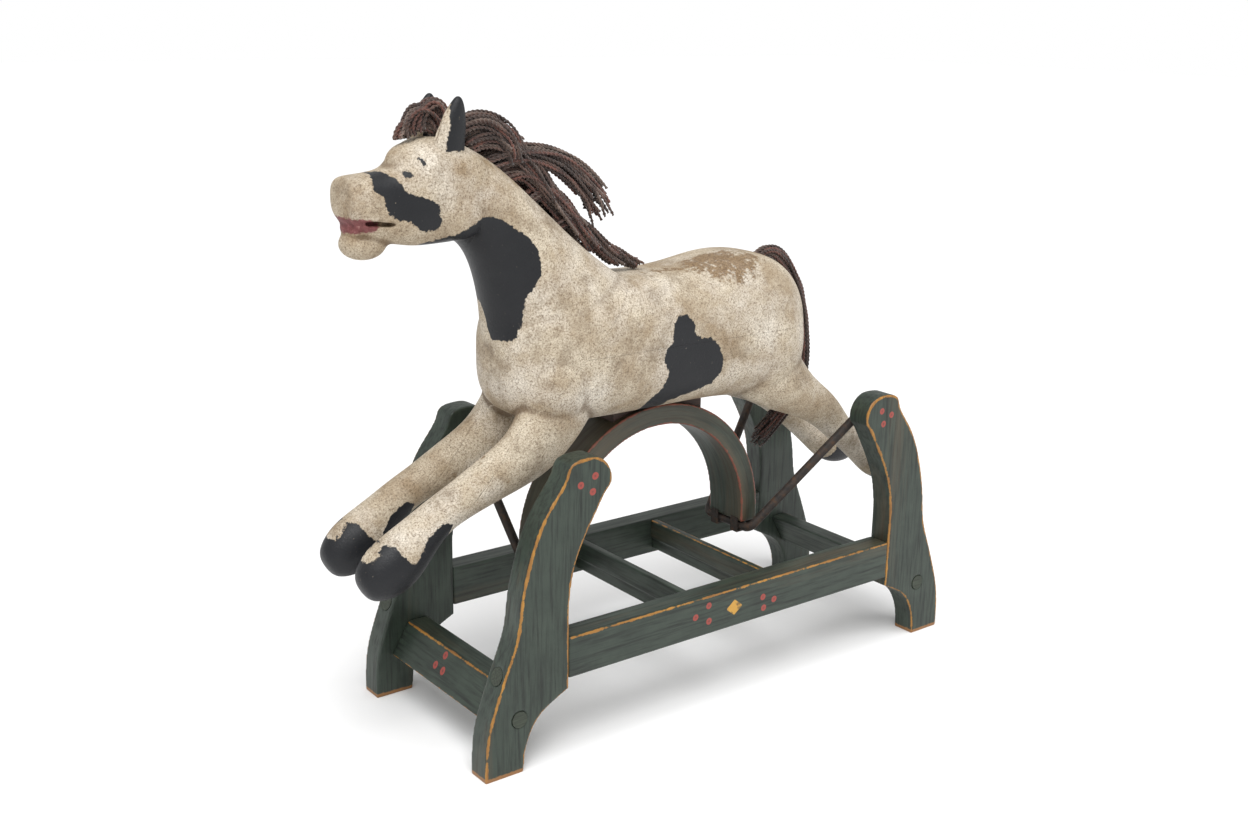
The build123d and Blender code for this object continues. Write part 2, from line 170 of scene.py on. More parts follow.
def outline_depth(u, v, outline):
    """How far inside a closed outline each point (u, v) is, in millimetres, negative outside."""
    corners = np.array(outline, float)
    near = np.full(len(u), 1e9)
    inside = np.zeros(len(u), bool)
    for a, b in zip(corners, np.roll(corners, -1, axis=0)):
        run = b - a
        along = np.clip(((u - a[0]) * run[0] + (v - a[1]) * run[1]) / (run @ run), 0, 1)
        near = np.minimum(near, np.hypot(u - a[0] - along * run[0], v - a[1] - along * run[1]))
        crosses = (a[1] > v) != (b[1] > v)
        slope = run[0] / run[1] if run[1] else 0.0
        inside ^= crosses & (u < a[0] + (v - a[1]) * slope)
    return np.where(inside, near, -near)


def hollows(mesh, passes):
    """How deep each point lies in a crease, in millimetres, negative on a ridge."""
    co = points_of(mesh)
    pairs = np.empty(len(mesh.edges) * 2, np.int32)
    mesh.edges.foreach_get("vertices", pairs)
    pairs = pairs.reshape(-1, 2)
    count = np.maximum(np.bincount(pairs.ravel(), minlength=len(co)), 1)
    smooth = co.copy()
    for _ in range(passes):
        smooth = np.stack([(np.bincount(pairs[:, 0], smooth[pairs[:, 1], k], len(co))
                            + np.bincount(pairs[:, 1], smooth[pairs[:, 0], k], len(co))) / count
                           for k in range(3)], axis=1)
    normals = np.empty(len(co) * 3, np.float32)
    mesh.vertices.foreach_get("normal", normals)
    return ((smooth - co) * normals.reshape(-1, 3)).sum(1) * 1000


def add(tree, kind, values=None, links=None, stops=None, **settings):
    """Adds a node with its settings, input values, links and colour stops."""
    node = tree.nodes.new(kind)
    for key, value in settings.items():
        setattr(node, key, value)
    for key, value in (values or {}).items():
        node.inputs[key].default_value = value
    for key, socket in (links or {}).items():
        tree.links.new(socket, node.inputs[key])
    if stops:
        ramp = node.color_ramp
        while len(ramp.elements) < len(stops):
            ramp.elements.new(0.5)
        for element, (place, colour) in zip(ramp.elements, stops):
            element.position = place
            element.color = colour
    return node


def new_material(name):
    """A material with an empty Principled surface, and its tree and shader."""
    material = bpy.data.materials.new(name)
    material.use_nodes = True
    tree = material.node_tree
    return material, tree, tree.nodes["Principled BSDF"]


def smooth_shaded(obj):
    only(obj)
    bpy.ops.object.shade_smooth()


def kept(obj, material, body, slot, *nodes):
    """Gives a finished piece its material and body, and hides the solids that it stands for; slot
    is not used.
    """
    if material is not None:
        obj.data.materials.clear()
        obj.data.materials.append(material)
    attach(obj, body)
    if nodes:
        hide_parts(*nodes)


# ---------------------------------------------------------------- finishes


def craquelured_cream_oil_paint():
    """Cream oil paint, crazed, rubbed and yellowed, with black patches, red lips, dirt in the
    hollows and painted shade on the undersides.
    """
    horse = bpy.context.scene.horse_settings
    material, tree, shader = new_material("craquelured_cream_oil_paint")
    place = add(tree, "ShaderNodeTexCoord").outputs["Object"]
    # broad yellowing, about a hand across
    broad = add(tree, "ShaderNodeTexNoise", {"Scale": 15, "Detail": 5, "Roughness": 0.62},
                {"Vector": place})
    body = add(tree, "ShaderNodeMapRange", {"From Min": 0.38, "From Max": 0.66},
               {"Value": broad.outputs["Fac"]})
    base = add(tree, "ShaderNodeMix", {6: horse.cream, 7: horse.tan},
               {0: body.outputs[0]}, data_type="RGBA")
    # pale rubbed areas
    pale_noise = add(tree, "ShaderNodeTexNoise", {"Scale": 11, "Detail": 4, "Roughness": 0.6},
                     {"Vector": add(tree, "ShaderNodeMapping", {"Location": (3.1, 1.7, 0.4)},
                                    {"Vector": place}).outputs[0]})
    pale = add(tree, "ShaderNodeMapRange", {"From Min": 0.46, "From Max": 0.66, "To Max": 0.7},
               {"Value": pale_noise.outputs["Fac"]})
    base = add(tree, "ShaderNodeMix", {7: linear("#e8e1d5")},
               {0: pale.outputs[0], 6: base.outputs[2]}, data_type="RGBA")
    # grey hand grime in washes
    wash_noise = add(tree, "ShaderNodeTexNoise", {"Scale": 19, "Detail": 7, "Roughness": 0.7},
                     {"Vector": add(tree, "ShaderNodeMapping", {"Location": (0.4, 5.2, 2.8)},
                                    {"Vector": place}).outputs[0]})
    wash = add(tree, "ShaderNodeMapRange", {"From Min": 0.52, "From Max": 0.7, "To Max": 0.7},
               {"Value": wash_noise.outputs["Fac"]})
    base = add(tree, "ShaderNodeMix", {7: linear("#7c6c57")},
               {0: wash.outputs[0], 6: base.outputs[2]}, data_type="RGBA")
    # brown speckle in the crazing, drawn 2.3 mm apart, twice as coarse as it is, to show
    speck = add(tree, "ShaderNodeTexNoise", {"Scale": 430, "Detail": 4, "Roughness": 0.8},
                {"Vector": place})
    specks = add(tree, "ShaderNodeMapRange", {"From Min": 0.49, "From Max": 0.63, "To Max": 0.78},
                 {"Value": speck.outputs["Fac"]})
    base = add(tree, "ShaderNodeMix", {7: linear("#5e4c38")},
               {0: specks.outputs[0], 6: base.outputs[2]}, data_type="RGBA")
    # crazing, cells about 3 mm across
    bent = add(tree, "ShaderNodeVectorMath", links={0: place}, operation="ADD")
    wobble = add(tree, "ShaderNodeTexNoise", {"Scale": 160, "Detail": 2}, {"Vector": place})
    small = add(tree, "ShaderNodeVectorMath", {"Scale": 0.005}, {0: wobble.outputs["Color"]},
                operation="SCALE")
    tree.links.new(small.outputs[0], bent.inputs[1])
    craze = add(tree, "ShaderNodeTexVoronoi", {"Scale": 300}, {"Vector": bent.outputs[0]},
                feature="DISTANCE_TO_EDGE")
    crack = add(tree, "ShaderNodeMapRange", {"From Max": 0.11, "To Min": 1.0, "To Max": 0.0},
                {"Value": craze.outputs["Distance"]})
    crack_amount = add(tree, "ShaderNodeMath", {1: 0.42}, {0: crack.outputs[0]},
                       operation="MULTIPLY")
    base = add(tree, "ShaderNodeMix", {7: linear("#6b5439")},
               {0: crack_amount.outputs[0], 6: base.outputs[2]}, data_type="RGBA")
    # dirt in the carved hollows, and painted shade darkening the undersides that face down
    hollow_dirt_and_underside_shade = add(tree, "ShaderNodeAttribute", attribute_name="hollow_dirt_and_underside_shade").outputs["Fac"]
    dirt_and_shade = add(tree, "ShaderNodeMapRange", {"From Min": 0.02, "From Max": 0.75, "To Max": 0.75},
               {"Value": hollow_dirt_and_underside_shade})
    base = add(tree, "ShaderNodeMix", {7: linear("#5f4a33")},
               {0: dirt_and_shade.outputs[0], 6: base.outputs[2]}, data_type="RGBA")
    # worn to brown ground on the rump and back
    worn = add(tree, "ShaderNodeAttribute", attribute_name="worn").outputs["Fac"]
    flake = add(tree, "ShaderNodeTexNoise", {"Scale": 62, "Detail": 9, "Roughness": 0.72},
                {"Vector": place})
    loss = add(tree, "ShaderNodeMath", links={0: worn, 1: flake.outputs["Fac"]},
               operation="MULTIPLY")
    bare = add(tree, "ShaderNodeMapRange", {"From Min": 0.41, "From Max": 0.47, "To Max": 0.85},
               {"Value": loss.outputs[0]})
    rust = add(tree, "ShaderNodeValToRGB", links={"Fac": speck.outputs["Fac"]},
               stops=[(0.4, linear("#8f744f")), (0.58, linear("#5d452d"))])
    base = add(tree, "ShaderNodeMix", links={0: bare.outputs[0], 6: base.outputs[2],
                                             7: rust.outputs[0]}, data_type="RGBA")
    # black patches with ragged, chipped edges
    depth = add(tree, "ShaderNodeAttribute", attribute_name="black").outputs["Fac"]
    ragged = add(tree, "ShaderNodeTexNoise", {"Scale": 170, "Detail": 6, "Roughness": 0.68},
                 {"Vector": place})
    shift = add(tree, "ShaderNodeMapRange", {"From Min": 0.25, "From Max": 0.75, "To Min": -2.8,
                                             "To Max": 2.8}, {"Value": ragged.outputs["Fac"]})
    reach = add(tree, "ShaderNodeMath", links={0: depth, 1: shift.outputs[0]}, operation="ADD")
    patch = add(tree, "ShaderNodeMapRange", {"From Min": -0.2, "From Max": 0.5},
                {"Value": reach.outputs[0]})
    chip = add(tree, "ShaderNodeTexNoise", {"Scale": 330, "Detail": 4, "Roughness": 0.6},
               {"Vector": place})
    chips = add(tree, "ShaderNodeMapRange", {"From Min": 0.7, "From Max": 0.74, "To Min": 1.0,
                                             "To Max": 0.35}, {"Value": chip.outputs["Fac"]})
    black_mask = add(tree, "ShaderNodeMath", links={0: patch.outputs[0], 1: chips.outputs[0]},
                     operation="MULTIPLY")
    black_tone = add(tree, "ShaderNodeMix", {6: horse.black, 7: linear("#232427")},
                     {0: wash_noise.outputs["Fac"]}, data_type="RGBA")
    base = add(tree, "ShaderNodeMix", links={0: black_mask.outputs[0], 6: base.outputs[2],
                                             7: black_tone.outputs[2]}, data_type="RGBA")
    # faded maroon lips
    lips = add(tree, "ShaderNodeAttribute", attribute_name="lips").outputs["Fac"]
    lip_reach = add(tree, "ShaderNodeMath", links={0: lips, 1: shift.outputs[0]}, operation="ADD")
    lip_mask = add(tree, "ShaderNodeMapRange", {"From Min": -0.3, "From Max": 0.9, "To Max": 0.92},
                   {"Value": lip_reach.outputs[0]})
    lip_tone = add(tree, "ShaderNodeValToRGB", links={"Fac": ragged.outputs["Fac"]},
                   stops=[(0.36, linear("#5c272b")), (0.6, linear("#7c4246")),
                          (0.74, linear("#bf9a90"))])
    base = add(tree, "ShaderNodeMix", links={0: lip_mask.outputs[0], 6: base.outputs[2],
                                             7: lip_tone.outputs[0]}, data_type="RGBA")
    tree.links.new(base.outputs[2], shader.inputs["Base Color"])
    # old paint: dull in the dirt, a little shine on the rubbed black
    shader.inputs["Specular IOR Level"].default_value = 0.3
    gloss = add(tree, "ShaderNodeMapRange", {"To Min": 0.62, "To Max": 0.44},
                {"Value": black_mask.outputs[0]})
    tree.links.new(gloss.outputs[0], shader.inputs["Roughness"])
    cracks = add(tree, "ShaderNodeBump", {"Strength": 0.3, "Distance": 0.0004},
                 {"Height": crack.outputs[0]}, invert=True)
    grit = add(tree, "ShaderNodeBump", {"Strength": 0.35, "Distance": 0.0006},
               {"Height": speck.outputs["Fac"], "Normal": cracks.outputs[0]})
    lost = add(tree, "ShaderNodeBump", {"Strength": 0.5, "Distance": 0.0008},
               {"Height": bare.outputs[0], "Normal": grit.outputs[0]}, invert=True)
    tree.links.new(lost.outputs[0], shader.inputs["Normal"])
    return material


def brushed_green_oil_paint():
    """Dark green oil paint brushed along the boards, rubbed at edges striped in ochre."""
    stand = bpy.context.scene.stand_settings
    material, tree, shader = new_material("brushed_green_oil_paint")
    place = add(tree, "ShaderNodeTexCoord").outputs["Object"]
    along = add(tree, "ShaderNodeAttribute", attribute_name="grain").outputs["Vector"]
    # brush marks and the grain under them, drawn out along the board
    streak = add(tree, "ShaderNodeTexNoise", {"Scale": 210, "Detail": 5, "Roughness": 0.65},
                 {"Vector": along})
    broad = add(tree, "ShaderNodeTexNoise", {"Scale": 24, "Detail": 5, "Roughness": 0.6},
                {"Vector": place})
    tone = add(tree, "ShaderNodeMix", {6: stand.green, 7: linear("#354036")},
               {0: add(tree, "ShaderNodeMapRange", {"From Min": 0.35, "From Max": 0.7},
                       {"Value": broad.outputs["Fac"]}).outputs[0]}, data_type="RGBA")
    dark = add(tree, "ShaderNodeMapRange", {"From Min": 0.46, "From Max": 0.66, "To Max": 0.8},
               {"Value": streak.outputs["Fac"]})
    tone = add(tree, "ShaderNodeMix", {7: linear("#131713")},
               {0: dark.outputs[0], 6: tone.outputs[2]}, data_type="RGBA")
    rub_noise = add(tree, "ShaderNodeTexNoise", {"Scale": 9, "Detail": 8, "Roughness": 0.72},
                    {"Vector": along})
    rub = add(tree, "ShaderNodeMapRange", {"From Min": 0.54, "From Max": 0.68, "To Max": 0.55},
              {"Value": rub_noise.outputs["Fac"]})
    tone = add(tree, "ShaderNodeMix", {7: linear("#5a4a36")},
               {0: rub.outputs[0], 6: tone.outputs[2]}, data_type="RGBA")
    # ochre line along the edges, and wear where the line has rubbed back
    rim = add(tree, "ShaderNodeAttribute", attribute_name="rim").outputs["Fac"]
    ragged = add(tree, "ShaderNodeTexNoise", {"Scale": 75, "Detail": 6, "Roughness": 0.7},
                 {"Vector": place})
    shift = add(tree, "ShaderNodeMapRange", {"From Min": 0.3, "From Max": 0.7, "To Min": -1.3,
                                             "To Max": 1.3}, {"Value": ragged.outputs["Fac"]})
    reach = add(tree, "ShaderNodeMath", links={0: rim, 1: shift.outputs[0]}, operation="ADD")
    width = stand.stripe * 1000
    line = add(tree, "ShaderNodeMapRange", {"From Min": width + 0.35, "From Max": width - 0.35,
                                            "To Max": 0.85}, {"Value": reach.outputs[0]})
    ochre = add(tree, "ShaderNodeValToRGB", links={"Fac": streak.outputs["Fac"]},
                stops=[(0.35, stand.ochre), (0.62, linear("#8a5c26")), (0.8, linear("#4a3a24"))])
    tone = add(tree, "ShaderNodeMix", links={0: line.outputs[0], 6: tone.outputs[2],
                                             7: ochre.outputs[0]}, data_type="RGBA")
    # rust-red undercoat on the hoop's edges
    red_rim = add(tree, "ShaderNodeAttribute", attribute_name="red_rim").outputs["Fac"]
    red_reach = add(tree, "ShaderNodeMath", links={0: red_rim, 1: shift.outputs[0]},
                    operation="ADD")
    red_line = add(tree, "ShaderNodeMapRange", {"From Min": 2.6, "From Max": 1.8, "To Max": 0.9},
                   {"Value": red_reach.outputs[0]})
    tone = add(tree, "ShaderNodeMix", {7: linear("#7d4434")},
               {0: red_line.outputs[0], 6: tone.outputs[2]}, data_type="RGBA")
    # painted dots, darker in the middle, and the ochre diamond
    dots = add(tree, "ShaderNodeAttribute", attribute_name="dots").outputs["Fac"]
    dot_reach = add(tree, "ShaderNodeMath", {1: 0.28}, {0: shift.outputs[0]}, operation="MULTIPLY")
    dot_edge = add(tree, "ShaderNodeMath", links={0: dots, 1: dot_reach.outputs[0]},
                   operation="ADD")
    dot_mask = add(tree, "ShaderNodeMapRange", {"From Min": 5.0, "From Max": 4.3, "To Max": 0.92},
                   {"Value": dot_edge.outputs[0]})
    dot_tone = add(tree, "ShaderNodeMix", {6: linear("#6c332c"), 7: stand.red},
                   {0: add(tree, "ShaderNodeMapRange", {"From Min": 0.8, "From Max": 2.4},
                           {"Value": dot_edge.outputs[0]}).outputs[0]}, data_type="RGBA")
    tone = add(tree, "ShaderNodeMix", links={0: dot_mask.outputs[0], 6: tone.outputs[2],
                                             7: dot_tone.outputs[2]}, data_type="RGBA")
    diamond = add(tree, "ShaderNodeAttribute", attribute_name="diamond").outputs["Fac"]
    diamond_edge = add(tree, "ShaderNodeMath", links={0: diamond, 1: dot_reach.outputs[0]},
                       operation="ADD")
    diamond_mask = add(tree, "ShaderNodeMapRange", {"From Min": -0.3, "From Max": 0.3,
                                                    "To Max": 0.95},
                       {"Value": diamond_edge.outputs[0]})
    diamond_tone = add(tree, "ShaderNodeMix", {6: linear("#c8963c"), 7: linear("#7d5f2c")},
                       {0: add(tree, "ShaderNodeMapRange", {"From Min": 0.52, "From Max": 0.6},
                               {"Value": ragged.outputs["Fac"]}).outputs[0]}, data_type="RGBA")
    tone = add(tree, "ShaderNodeMix", links={0: diamond_mask.outputs[0], 6: tone.outputs[2],
                                             7: diamond_tone.outputs[2]}, data_type="RGBA")
    # the last few millimetres above the floor are scuffed to the wood
    height = add(tree, "ShaderNodeSeparateXYZ", links={0: place}).outputs["Z"]
    low = add(tree, "ShaderNodeMath", {1: 1000}, {0: height}, operation="MULTIPLY")
    low_edge = add(tree, "ShaderNodeMath", links={0: low.outputs[0], 1: shift.outputs[0]},
                   operation="ADD")
    scuff = add(tree, "ShaderNodeMapRange", {"From Min": 6.0, "From Max": 4.6, "To Max": 0.8},
                {"Value": low_edge.outputs[0]})
    tone = add(tree, "ShaderNodeMix", {7: linear("#9a6a38")},
               {0: scuff.outputs[0], 6: tone.outputs[2]}, data_type="RGBA")
    tree.links.new(tone.outputs[2], shader.inputs["Base Color"])
    gloss = add(tree, "ShaderNodeMapRange", {"From Min": 0.3, "From Max": 0.7, "To Min": 0.38,
                                             "To Max": 0.56}, {"Value": streak.outputs["Fac"]})
    tree.links.new(gloss.outputs[0], shader.inputs["Roughness"])
    strokes = add(tree, "ShaderNodeBump", {"Strength": 0.35, "Distance": 0.0006},
                  {"Height": streak.outputs["Fac"]})
    tree.links.new(strokes.outputs[0], shader.inputs["Normal"])
    return material


def rusty_wrought_iron():
    """Wrought iron rod, near black with a brown film of rust and a pitted skin."""
    material, tree, shader = new_material("rusty_wrought_iron")
    place = add(tree, "ShaderNodeTexCoord").outputs["Object"]
    film = add(tree, "ShaderNodeTexNoise", {"Scale": 90, "Detail": 7, "Roughness": 0.7},
               {"Vector": place})
    tone = add(tree, "ShaderNodeValToRGB", links={"Fac": film.outputs["Fac"]},
               stops=[(0.34, linear("#1f1d1c")), (0.52, linear("#38302b")),
                      (0.68, linear("#57402f"))])
    tree.links.new(tone.outputs[0], shader.inputs["Base Color"])
    shader.inputs["Metallic"].default_value = 0.35
    rough = add(tree, "ShaderNodeMapRange", {"From Min": 0.3, "From Max": 0.7, "To Min": 0.45,
                                             "To Max": 0.8}, {"Value": film.outputs["Fac"]})
    tree.links.new(rough.outputs[0], shader.inputs["Roughness"])
    pits = add(tree, "ShaderNodeBump", {"Strength": 0.6, "Distance": 0.0008},
               {"Height": film.outputs["Fac"]})
    tree.links.new(pits.outputs[0], shader.inputs["Normal"])
    return material


def stained_softwood(name, light, dark):
    """Handled softwood, its grain running along the horse, oiled and darkened."""
    material, tree, shader = new_material(name)
    place = add(tree, "ShaderNodeTexCoord").outputs["Object"]
    # grain lines 2 to 3 mm apart
    drawn = add(tree, "ShaderNodeMapping", {"Scale": (30, 420, 420)}, {"Vector": place})
    grain = add(tree, "ShaderNodeTexNoise", {"Scale": 1, "Detail": 6, "Roughness": 0.6},
                {"Vector": drawn.outputs[0]})
    tone = add(tree, "ShaderNodeValToRGB", links={"Fac": grain.outputs["Fac"]},
               stops=[(0.35, linear(light)), (0.65, linear(dark))])
    tree.links.new(tone.outputs[0], shader.inputs["Base Color"])
    shader.inputs["Roughness"].default_value = 0.66
    ridges = add(tree, "ShaderNodeBump", {"Strength": 0.4, "Distance": 0.0005},
                 {"Height": grain.outputs["Fac"]})
    tree.links.new(ridges.outputs[0], shader.inputs["Normal"])
    return material


def turned_steel():
    """Plain steel screw, dulled."""
    material, tree, shader = new_material("turned_steel")
    place = add(tree, "ShaderNodeTexCoord").outputs["Object"]
    film = add(tree, "ShaderNodeTexNoise", {"Scale": 300, "Detail": 4}, {"Vector": place})
    tone = add(tree, "ShaderNodeValToRGB", links={"Fac": film.outputs["Fac"]},
               stops=[(0.35, linear("#6f6a64")), (0.7, linear("#4a423a"))])
    tree.links.new(tone.outputs[0], shader.inputs["Base Color"])
    shader.inputs["Metallic"].default_value = 1.0
    shader.inputs["Roughness"].default_value = 0.42
    return material


def wool_yarn(name, light, dark):
    """Two-ply brown wool yarn, matt, with a soft bloom of fibres at grazing light."""
    material, tree, shader = new_material(name)
    place = add(tree, "ShaderNodeTexCoord").outputs["Object"]
    dye = add(tree, "ShaderNodeTexNoise", {"Scale": 55, "Detail": 4, "Roughness": 0.6},
              {"Vector": place})
    fibre = add(tree, "ShaderNodeTexNoise", {"Scale": 1500, "Detail": 3, "Roughness": 0.7},
                {"Vector": place})
    tone = add(tree, "ShaderNodeMix", {6: linear(dark), 7: linear(light)},
               {0: add(tree, "ShaderNodeMapRange", {"From Min": 0.35, "From Max": 0.65},
                       {"Value": dye.outputs["Fac"]}).outputs[0]}, data_type="RGBA")
    light_fibre = add(tree, "ShaderNodeMapRange", {"From Min": 0.52, "From Max": 0.7,
                                                   "To Max": 0.5}, {"Value": fibre.outputs["Fac"]})
    tone = add(tree, "ShaderNodeMix", {7: linear("#8f7a70")},
               {0: light_fibre.outputs[0], 6: tone.outputs[2]}, data_type="RGBA")
    tree.links.new(tone.outputs[2], shader.inputs["Base Color"])
    shader.inputs["Roughness"].default_value = 0.85
    shader.inputs["Sheen Weight"].default_value = 0.25
    shader.inputs["Sheen Roughness"].default_value = 0.5
    fuzz = add(tree, "ShaderNodeBump", {"Strength": 0.5, "Distance": 0.0005},
               {"Height": fibre.outputs["Fac"]})
    tree.links.new(fuzz.outputs[0], shader.inputs["Normal"])
    return material


# ---------------------------------------------------------------- horse


# x, top z, bottom z, half width of the trunk
TRUNK = [
    (-296, 508, 446, 24), (-288, 532, 418, 46), (-266, 552, 400, 66), (-230, 564, 391, 78),
    (-190, 569, 387, 83), (-120, 567, 386, 83), (-50, 564, 386, 81), (10, 570, 386, 82),
    (60, 580, 384, 85), (110, 579, 375, 86), (150, 566, 368, 77), (178, 542, 376, 61),
    (196, 513, 396, 44), (206, 486, 418, 28),
]
# crest x, crest z, throat x, throat z, half width of the neck
NECK = [
    (-60, 544, -258, 424, 76), (-98, 560, -286, 448, 78), (-128, 580, -298, 492, 72),
    (-160, 603, -299, 520, 64), (-190, 628, -302, 547, 57), (-240, 673, -316, 601, 47),
    (-290, 716, -344, 633, 43), (-334, 740, -374, 626, 42), (-356, 745, -392, 630, 40),
]
# x, top z, bottom z, half width of the head
HEAD = [
    (-306, 716, 646, 34), (-322, 731, 632, 41), (-345, 743, 627, 45), (-372, 749, 626, 46),
    (-394, 746, 625, 44), (-410, 735, 626, 41), (-424, 717, 629, 37), (-440, 712, 631, 35),
    (-458, 710, 632, 34), (-471, 709, 641, 33), (-480, 708, 655, 32), (-485, 706, 660, 30),
    (-487, 700, 668, 25),
]
# centre x, y, z, half depth, half width of the left front and hind legs
FRONT_LEG = [
    (-188, 37, 470, 44, 28), (-205, 40, 448, 52, 33), (-228, 42, 404, 48, 32),
    (-264, 45, 366, 39, 29), (-297, 46, 350, 32, 27), (-332, 46, 336, 28, 25),
    (-366, 46, 321, 24, 24), (-396, 46, 308, 23, 24), (-418, 46, 292, 26, 26),
    (-440, 46, 273, 33, 29), (-460, 46, 258, 36, 32), (-479, 46, 247, 32, 29),
    (-493, 46, 240, 24, 22), (-501, 46, 236, 14, 13),
]
HIND_LEG = [
    (78, 40, 470, 46, 28), (96, 42, 446, 60, 33), (130, 47, 412, 54, 32),
    (172, 50, 380, 37, 28), (204, 51, 362, 29, 25), (238, 51, 340, 27, 22),
    (264, 51, 313, 22, 20), (292, 51, 287, 19, 18), (320, 51, 264, 20, 19),
    (346, 50, 246, 25, 22), (368, 50, 236, 25, 23), (388, 50, 230, 20, 20),
    (402, 50, 226, 12, 13),
]
# centre x, y, z, half depth, half width, half height, lean in degrees: swellings on the forms
SWELLINGS = [
    ("chin", -461, 0, 632, 28, 25, 19, 0),
    ("lower_lip", -467, 0, 649, 18, 27, 7, 0),
    ("upper_lip", -469, 0, 663, 19, 30, 8, 0),
    ("brow", -393, 0, 717, 34, 32, 26, 6),
    ("cheek_left", -352, -30, 664, 36, 17, 34, 0),
    ("cheek_right", -352, 30, 664, 36, 17, 34, 0),
    ("shoulder_left", -226, -40, 446, 52, 42, 62, 10),
    ("shoulder_right", -226, 40, 446, 52, 42, 62, 10),
    ("haunch_left", 118, -46, 462, 66, 40, 92, -8),
    ("haunch_right", 118, 46, 462, 66, 40, 92, -8),
    ("gaskin_left", 222, -51, 354, 20, 22, 15, 35),
    ("gaskin_right", 222, 51, 354, 20, 22, 15, 35),
]
# slits and sockets cut into the head: centre, half sizes, lean in degrees
CUTS = [
    ("mouth_left", -458, -34, 657, 30, 20, 3.0, 6),
    ("mouth_right", -458, 34, 657, 30, 20, 3.0, 6),
    ("eye_left", -416, -45, 711, 12, 8, 6, 24),
    ("eye_right", -416, 45, 711, 12, 8, 6, 24),
]
EAR = [
    (-364, 25, 718, 22, 13), (-364, 26, 730, 21, 12.5), (-362, 28, 745, 19, 12),
    (-359, 30, 760, 17, 11), (-356, 31, 774, 13, 9), (-353, 32, 786, 8, 6.5),
    (-352, 32, 794, 3, 3),
]
# black patches: outlines in side view, x and z
NEAR_PATCHES = [
    [(-444, 715), (-455, 711), (-462, 700), (-458, 691), (-451, 687), (-445, 668), (-433, 660),
     (-420, 658), (-404, 645), (-389, 645), (-382, 655), (-387, 676), (-397, 683), (-414, 687),
     (-423, 692), (-430, 703)],
    [(-425, 713), (-419, 715), (-413, 710), (-417, 706), (-423, 706)],
    [(-406, 727), (-402, 729), (-398, 720), (-402, 719)],
    [(-400, 630), (-366, 638), (-350, 645), (-337, 653), (-323, 658), (-305, 655), (-296, 648),
     (-285, 640), (-268, 630), (-258, 617), (-255, 600), (-257, 584), (-264, 571), (-274, 556),
     (-277, 526), (-284, 508), (-297, 501), (-311, 505), (-316, 530), (-327, 561), (-337, 586),
     (-360, 605), (-400, 612)],
    [(-101, 380), (-101, 407), (-83, 425), (-76, 445), (-86, 462), (-83, 475), (-72, 484),
     (-70, 506), (-62, 517), (-47, 517), (-36, 506), (-34, 491), (-22, 483), (-9, 484),
     (6, 472), (15, 451), (14, 433), (1, 418), (-24, 411), (-61, 402), (-70, 380)],
]
FAR_PATCHES = [
    [(-452, 712), (-462, 694), (-447, 672), (-424, 662), (-398, 652), (-388, 668), (-400, 688),
     (-424, 700)],
    [(-424, 713), (-417, 715), (-412, 709), (-418, 705)],
    [(-400, 628), (-352, 640), (-322, 646), (-300, 630), (-284, 600), (-290, 560), (-306, 540),
     (-330, 560), (-350, 590), (-400, 606)],
    [(-30, 380), (-20, 410), (6, 430), (10, 462), (34, 492), (66, 500), (88, 478), (84, 440),
     (60, 416), (28, 404), (20, 380)],
]
# the maroon paint of the lips, in side view
LIPS = [(-512, 662), (-498, 664), (-478, 664), (-462, 661), (-452, 657), (-458, 650),
        (-470, 647), (-486, 645), (-512, 645)]
# the black of the front hooves, which climbs to points, and of the hind hooves, in side view
HOOVES = [
    [(-492, 272), (-474, 290), (-464, 288), (-458, 276), (-446, 266), (-438, 272), (-426, 292),
     (-404, 306), (-390, 302), (-396, 270), (-440, 190), (-560, 190), (-560, 262)],
    [(348, 275), (362, 262), (372, 268), (384, 290), (440, 290), (440, 180), (330, 180),
     (338, 224), (352, 240)],
]


def ring_form(name, rings, sides=32, levels=3, fullness=1.0):
    """A closed form bridged through elliptical rings: centre, lean, half depth, half width.
    A fullness above 1 swells the rings towards rounded rectangles."""
    nothing_selected()
    bpy.ops.object.add(type="MESH")
    form = bpy.context.object
    form.name = name
    bpy.ops.object.mode_set(mode="EDIT")
    bpy.ops.mesh.select_mode(type="VERT")
    for k, (centre, lean, deep, wide) in enumerate(rings):
        bpy.ops.mesh.primitive_circle_add(vertices=sides, radius=deep, location=centre,
                                          rotation=(0, lean, 0))
        if fullness > 1:
            fill_ring(form, Vector(centre), deep, fullness)
        bpy.ops.transform.resize(value=(1, wide / deep, 1), center_override=centre)
        if k:
            pick_points(form, range((k - 1) * sides, (k + 1) * sides))
            bpy.ops.mesh.bridge_edge_loops()
    for k in (0, len(rings) - 1):
        pick_points(form, range(k * sides, (k + 1) * sides))
        bpy.ops.mesh.edge_face_add()
    bpy.ops.mesh.select_all(action="SELECT")
    bpy.ops.mesh.normals_make_consistent(inside=False)
    bpy.ops.object.mode_set(mode="OBJECT")
    apply_modifier(form, "SUBSURF", levels=levels, render_levels=levels)
    return form


def fill_ring(obj, centre, radius, fullness):
    """Pushes the new ring's diagonals out, as a plane leaves the corners of a squared block."""
    shape = bmesh.from_edit_mesh(obj.data)
    for vert in shape.verts:
        if vert.select:
            arm = (vert.co - centre) / radius
            diagonal = (2 * abs(arm.y) * math.sqrt(max(0.0, 1 - arm.y ** 2))) ** 2
            vert.co = centre + arm * radius * (1 + (fullness - 1) * diagonal)
    bmesh.update_edit_mesh(obj.data)


def pick_points(obj, wanted):
    shape = bmesh.from_edit_mesh(obj.data)
    shape.verts.ensure_lookup_table()
    wanted = set(wanted)
    for vert in shape.verts:
        vert.select = vert.index in wanted
    shape.select_flush_mode()
    bmesh.update_edit_mesh(obj.data)


def upright_rings(table):
    """Trunk and head rings stand across the length."""
    return [(at(x, 0, (top + bottom) / 2), math.pi / 2, (top - bottom) / 2000, half / 1000)
            for x, top, bottom, half in table]


